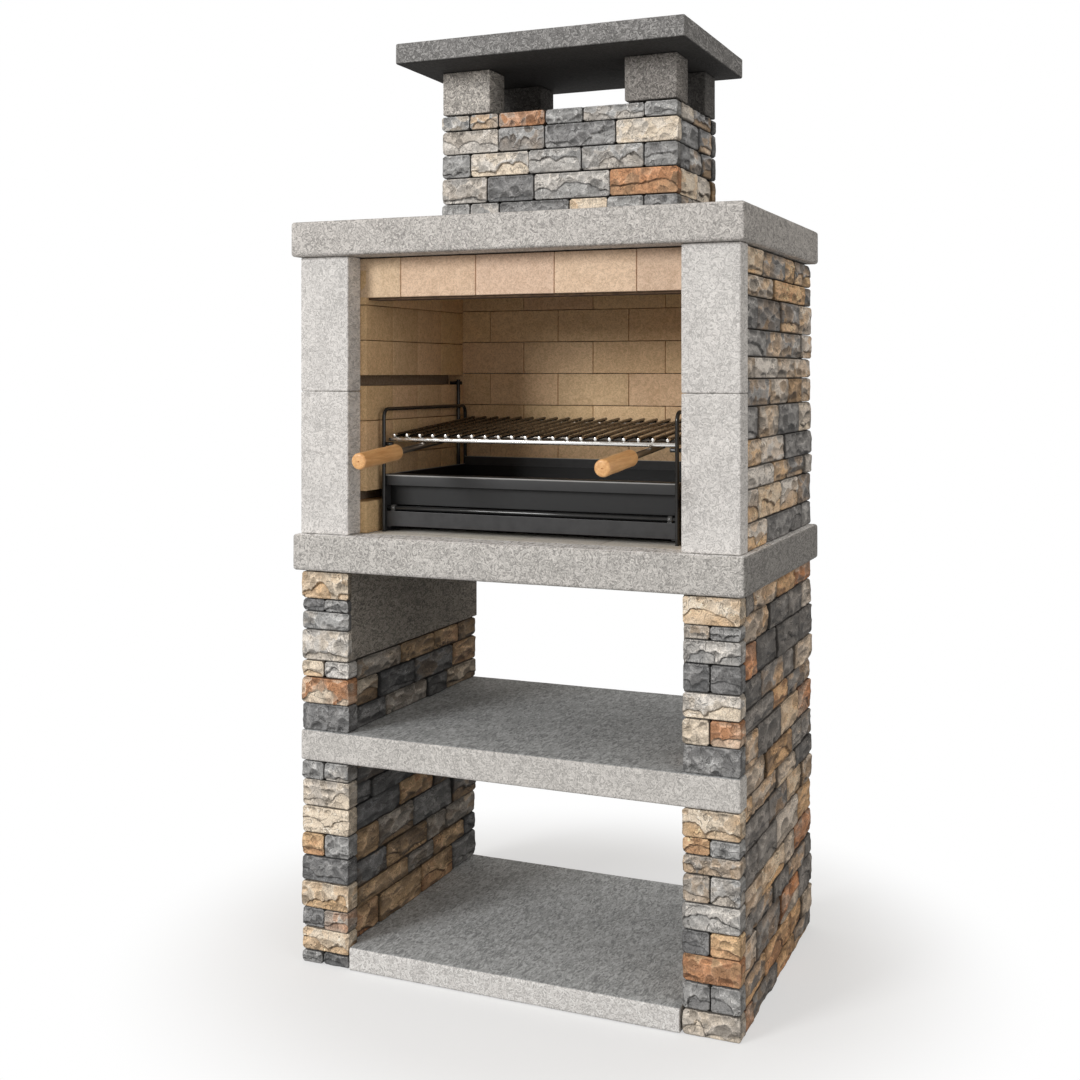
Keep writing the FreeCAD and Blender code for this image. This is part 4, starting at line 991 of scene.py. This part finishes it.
ring_low, ring_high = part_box("grill_ring")
GRILL_MIDDLE = np.array([(ring_low[0] + ring_high[0]) / 2, -0.1835, 1.035])
GRILL_RISE = math.radians(4)
GRILL_RUN = np.array([0, math.cos(GRILL_RISE), math.sin(GRILL_RISE)])
GRILL_UP = np.array([0, -math.sin(GRILL_RISE), math.cos(GRILL_RISE)])
GRILL_HALF = (ring_high[0] - ring_low[0]) / 2
GRILL_DEPTH = 0.357 / math.cos(GRILL_RISE)
RING_ROD, STAY = 0.005, 0.070
BARS, BAR_ROD, BAR_MARGIN, BAR_END, BAR_SIDES = 21, 0.0035, 0.014, 0.006, 14
ARM_ROD, ARM_FROM_LEFT, ARM_FROM_RIGHT, ARM_FREE = 0.006, 0.079, 0.049, 0.114
ARM_EASE, SHOULDER_EASE, TANG_SHORT = 0.0015, 0.001, 0.004
TANG, GRIP, GRIP_LENGTH, GRIP_EASE, GRIP_WAIST = 0.0035, 0.0155, 0.145, 0.0045, 0.0004
GRIP_HOLE, GRIP_HOLE_DEPTH = (0.0013, 0.0011), 0.003
BRIGHT = np.array([0.80, 0.79, 0.77])
BURNT = np.array([0.12, 0.108, 0.096])

stainless, shader, coords = new_material("stainless", 0.22, 1.0)
tint = layer_of(shader, "tint")
stains = noise(coords, 70.0, 4.0)
clean = new_node(shader, "SeparateColor", {"Color": tint}, "Red")
most_burnt = between(clean, 0.2, 0.7, 0.35, 0.04)
burnt = worked("MULTIPLY", between(stains, 0.3, 0.7), most_burnt)
paint(shader, mix(burnt, tint, (0.05, 0.04, 0.03, 1)))
link(between(stains, 0.3, 0.7, 0.16, 0.34), shader, "Roughness")


def on_grill(x, along, up=0.0):
    """Point in the sloping plane of the grill, from the middle of its front bar."""
    return GRILL_MIDDLE + np.array([x, 0, 0]) + along * GRILL_RUN + up * GRILL_UP


def grill_rod(start, end, tint):
    """Straight rod of the grill's ring with one tint."""
    points, faces = straight_rod(on_grill(*start), on_grill(*end), RING_ROD)
    return points, faces, np.tile(tint, (len(points), 1))


side_x = GRILL_HALF - RING_ROD
make_piece("grill_ring", "drawn", [
    grill_rod((-GRILL_HALF, 0), (GRILL_HALF, 0), BRIGHT),
    grill_rod((-GRILL_HALF, GRILL_DEPTH), (GRILL_HALF, GRILL_DEPTH), BURNT),
    grill_rod((2 * RING_ROD - GRILL_HALF, STAY), (GRILL_HALF - 2 * RING_ROD, STAY), BURNT),
    grill_rod((-side_x, RING_ROD), (-side_x, GRILL_DEPTH - RING_ROD), BURNT),
    grill_rod((side_x, RING_ROD), (side_x, GRILL_DEPTH - RING_ROD), BURNT),
], stainless, "grill")

bar_length = GRILL_DEPTH + 2 * BAR_END
from_end = np.array([0, 0.0003, 0.001, 0.007, 0.011])
end_ease = np.array([0.001, 0.0003, 0, 0, 0])
bar_stations = np.concatenate([from_end, bar_length - from_end[::-1]])
bar_radii = BAR_ROD - np.concatenate([end_ease, end_ease[::-1]])
bar_tints = np.repeat([BRIGHT, BURNT], (4 * BAR_SIDES, 6 * BAR_SIDES), axis=0)
lift = RING_ROD + BAR_ROD
shells = []
for x in np.linspace(BAR_MARGIN - GRILL_HALF, GRILL_HALF - BAR_MARGIN, BARS):
    start, end = on_grill(x, -BAR_END, lift), on_grill(x, GRILL_DEPTH + BAR_END, lift)
    shells.append((*turned(start, end, bar_stations, bar_radii, BAR_SIDES), bar_tints))
make_piece("grill_bars", "drawn", shells, stainless, "grill")

turn = np.linspace(0, np.pi / 2, 6)
nose_stations = GRIP_EASE * (1 - np.cos(turn))
nose_radii = GRIP - GRIP_EASE * (1 - np.sin(turn))
barrel = np.linspace(0.12, 0.88, 12)
barrel_radii = GRIP - GRIP_WAIST * np.sin(2 * np.pi * barrel) ** 2
grip_stations = [[0], nose_stations, barrel * GRIP_LENGTH, GRIP_LENGTH - nose_stations[::-1], [GRIP_LENGTH]]
grip_stations = np.concatenate(grip_stations + [[GRIP_LENGTH - GRIP_HOLE_DEPTH]])
grip_radii = np.concatenate([[TANG], nose_radii, barrel_radii, nose_radii[::-1], GRIP_HOLE])
arm_length = STAY + ARM_ROD + ARM_FREE
tang_end = arm_length + GRIP_LENGTH - TANG_SHORT
arm_stations = [0, ARM_EASE / 3, ARM_EASE, arm_length - SHOULDER_EASE, arm_length, arm_length, tang_end]
arm_radii = ARM_ROD - np.array([ARM_EASE, ARM_EASE / 3, 0, 0, SHOULDER_EASE, ARM_ROD - TANG, ARM_ROD - TANG])
drop = -RING_ROD - ARM_ROD
arms, grips = [], []
for x in (ARM_FROM_LEFT - GRILL_HALF, GRILL_HALF - ARM_FROM_RIGHT):
    root, shoulder = on_grill(x, STAY + ARM_ROD, drop), on_grill(x, -ARM_FREE, drop)
    arms.append(turned(root, shoulder, arm_stations, arm_radii))
    grips.append(turned(shoulder, on_grill(x, -ARM_FREE - GRIP_LENGTH, drop), grip_stations, grip_radii, 40))
browned_steel = plain("browned_steel", (0.30, 0.27, 0.235), 0.28, 0.9)
make_piece("grill_arms", "drawn", arms, browned_steel, "grill")

varnished_wood, shader, coords = new_material("varnished_wood", 0.38)
grain = stretched(coords, (1, 0.06, 1), (-GRILL_RISE, 0, 0))
fibre = noise(grain, 240.0, 4.0, 0.6)
pores = noise(grain, 700.0, 2.0)
shade = mix(between(fibre, 0.3, 0.7), (0.68, 0.34, 0.13, 1), (0.86, 0.50, 0.215, 1))
shade = mix(between(pores, 0.3, 0.45, 0.35, 0.0), shade, (0.42, 0.20, 0.07, 1))
paint(shader, shade)
make_piece("grill_grips", "drawn", grips, varnished_wood, "grill")


# Floor, light and camera: a plain pale floor, soft light from the front left, a weaker one from the right, and the
# photograph's point of view.

FLOOR_HALF = 8.0
floor_mesh = bpy.data.meshes.new("floor")
corners = np.array([(-1, -1, 0), (1, -1, 0), (1, 1, 0), (-1, 1, 0)]) * FLOOR_HALF - (0, 0, 0.0005)
floor_mesh.from_pydata(corners.tolist(), [], [(0, 1, 2, 3)])
floor = add_object("floor", floor_mesh)
pale_floor, shader, coords = new_material("pale_floor", 0.9)
away = new_node(shader, "VectorMath", {0: coords}, "Value", operation="LENGTH")
glow = new_node(shader, "Emission", {"Color": (1, 1, 1, 1), "Strength": 1.0})
direct, mirrored = (new_node(shader, "LightPath", output=f"Is {kind} Ray") for kind in ("Camera", "Glossy"))
seen = worked("MAXIMUM", direct, mirrored)
paint(shader, mix(seen, (0.3, 0.3, 0.3, 1), (0.9, 0.9, 0.9, 1)))
share = worked("MULTIPLY", between(away, 0.5, 0.95, 0.5, 1.0), seen)
blend = new_node(shader, "MixShader", {0: share, 1: shader.outputs["BSDF"], 2: glow})
link(blend, pale_floor.node_tree.nodes["Material Output"], "Surface")
floor_mesh.materials.append(pale_floor)

world = bpy.data.worlds.new("studio")
bpy.context.scene.world = world
world.use_nodes = True
sky = world.node_tree.nodes["Background"]
direct = new_node(sky, "LightPath", output="Is Camera Ray")
link(mix(direct, (1.0, 0.95, 0.89, 1), (1, 1, 1, 1)), sky, "Color")
link(between(direct, 0.0, 1.0, 0.53, 1.0), sky, "Strength")


def area_light(name, place, target, size, power):
    """Square soft light that looks at a point."""
    light = bpy.data.lights.new(name, "AREA")
    light.size = size
    light.energy = power
    lamp = add_object(name, light)
    lamp.location = place
    away = np.subtract(place, target)
    lamp.rotation_euler = (math.atan2(math.hypot(away[0], away[1]), away[2]), 0, math.atan2(away[0], -away[1]))


area_light("key", (-3.5, -6.8, 3.15), target=(0, 0, 0.9), size=2.2, power=357)
area_light("fill", (4.5, -2.5, 1.8), target=(0.2, 0, 1.0), size=2.5, power=30)

camera_data = bpy.data.cameras.new("camera")
camera_data.sensor_width = 36
camera_data.lens = 46.93
camera_data.shift_x = 0.00125
camera_data.shift_y = -0.1539
camera = add_object("camera", camera_data)
camera.location = (1.0857, -2.6748, 1.1664)
camera.rotation_euler = (math.radians(90), 0, math.radians(23.16))
bpy.context.scene.camera = camera
bpy.context.scene.view_settings.view_transform = "Standard"
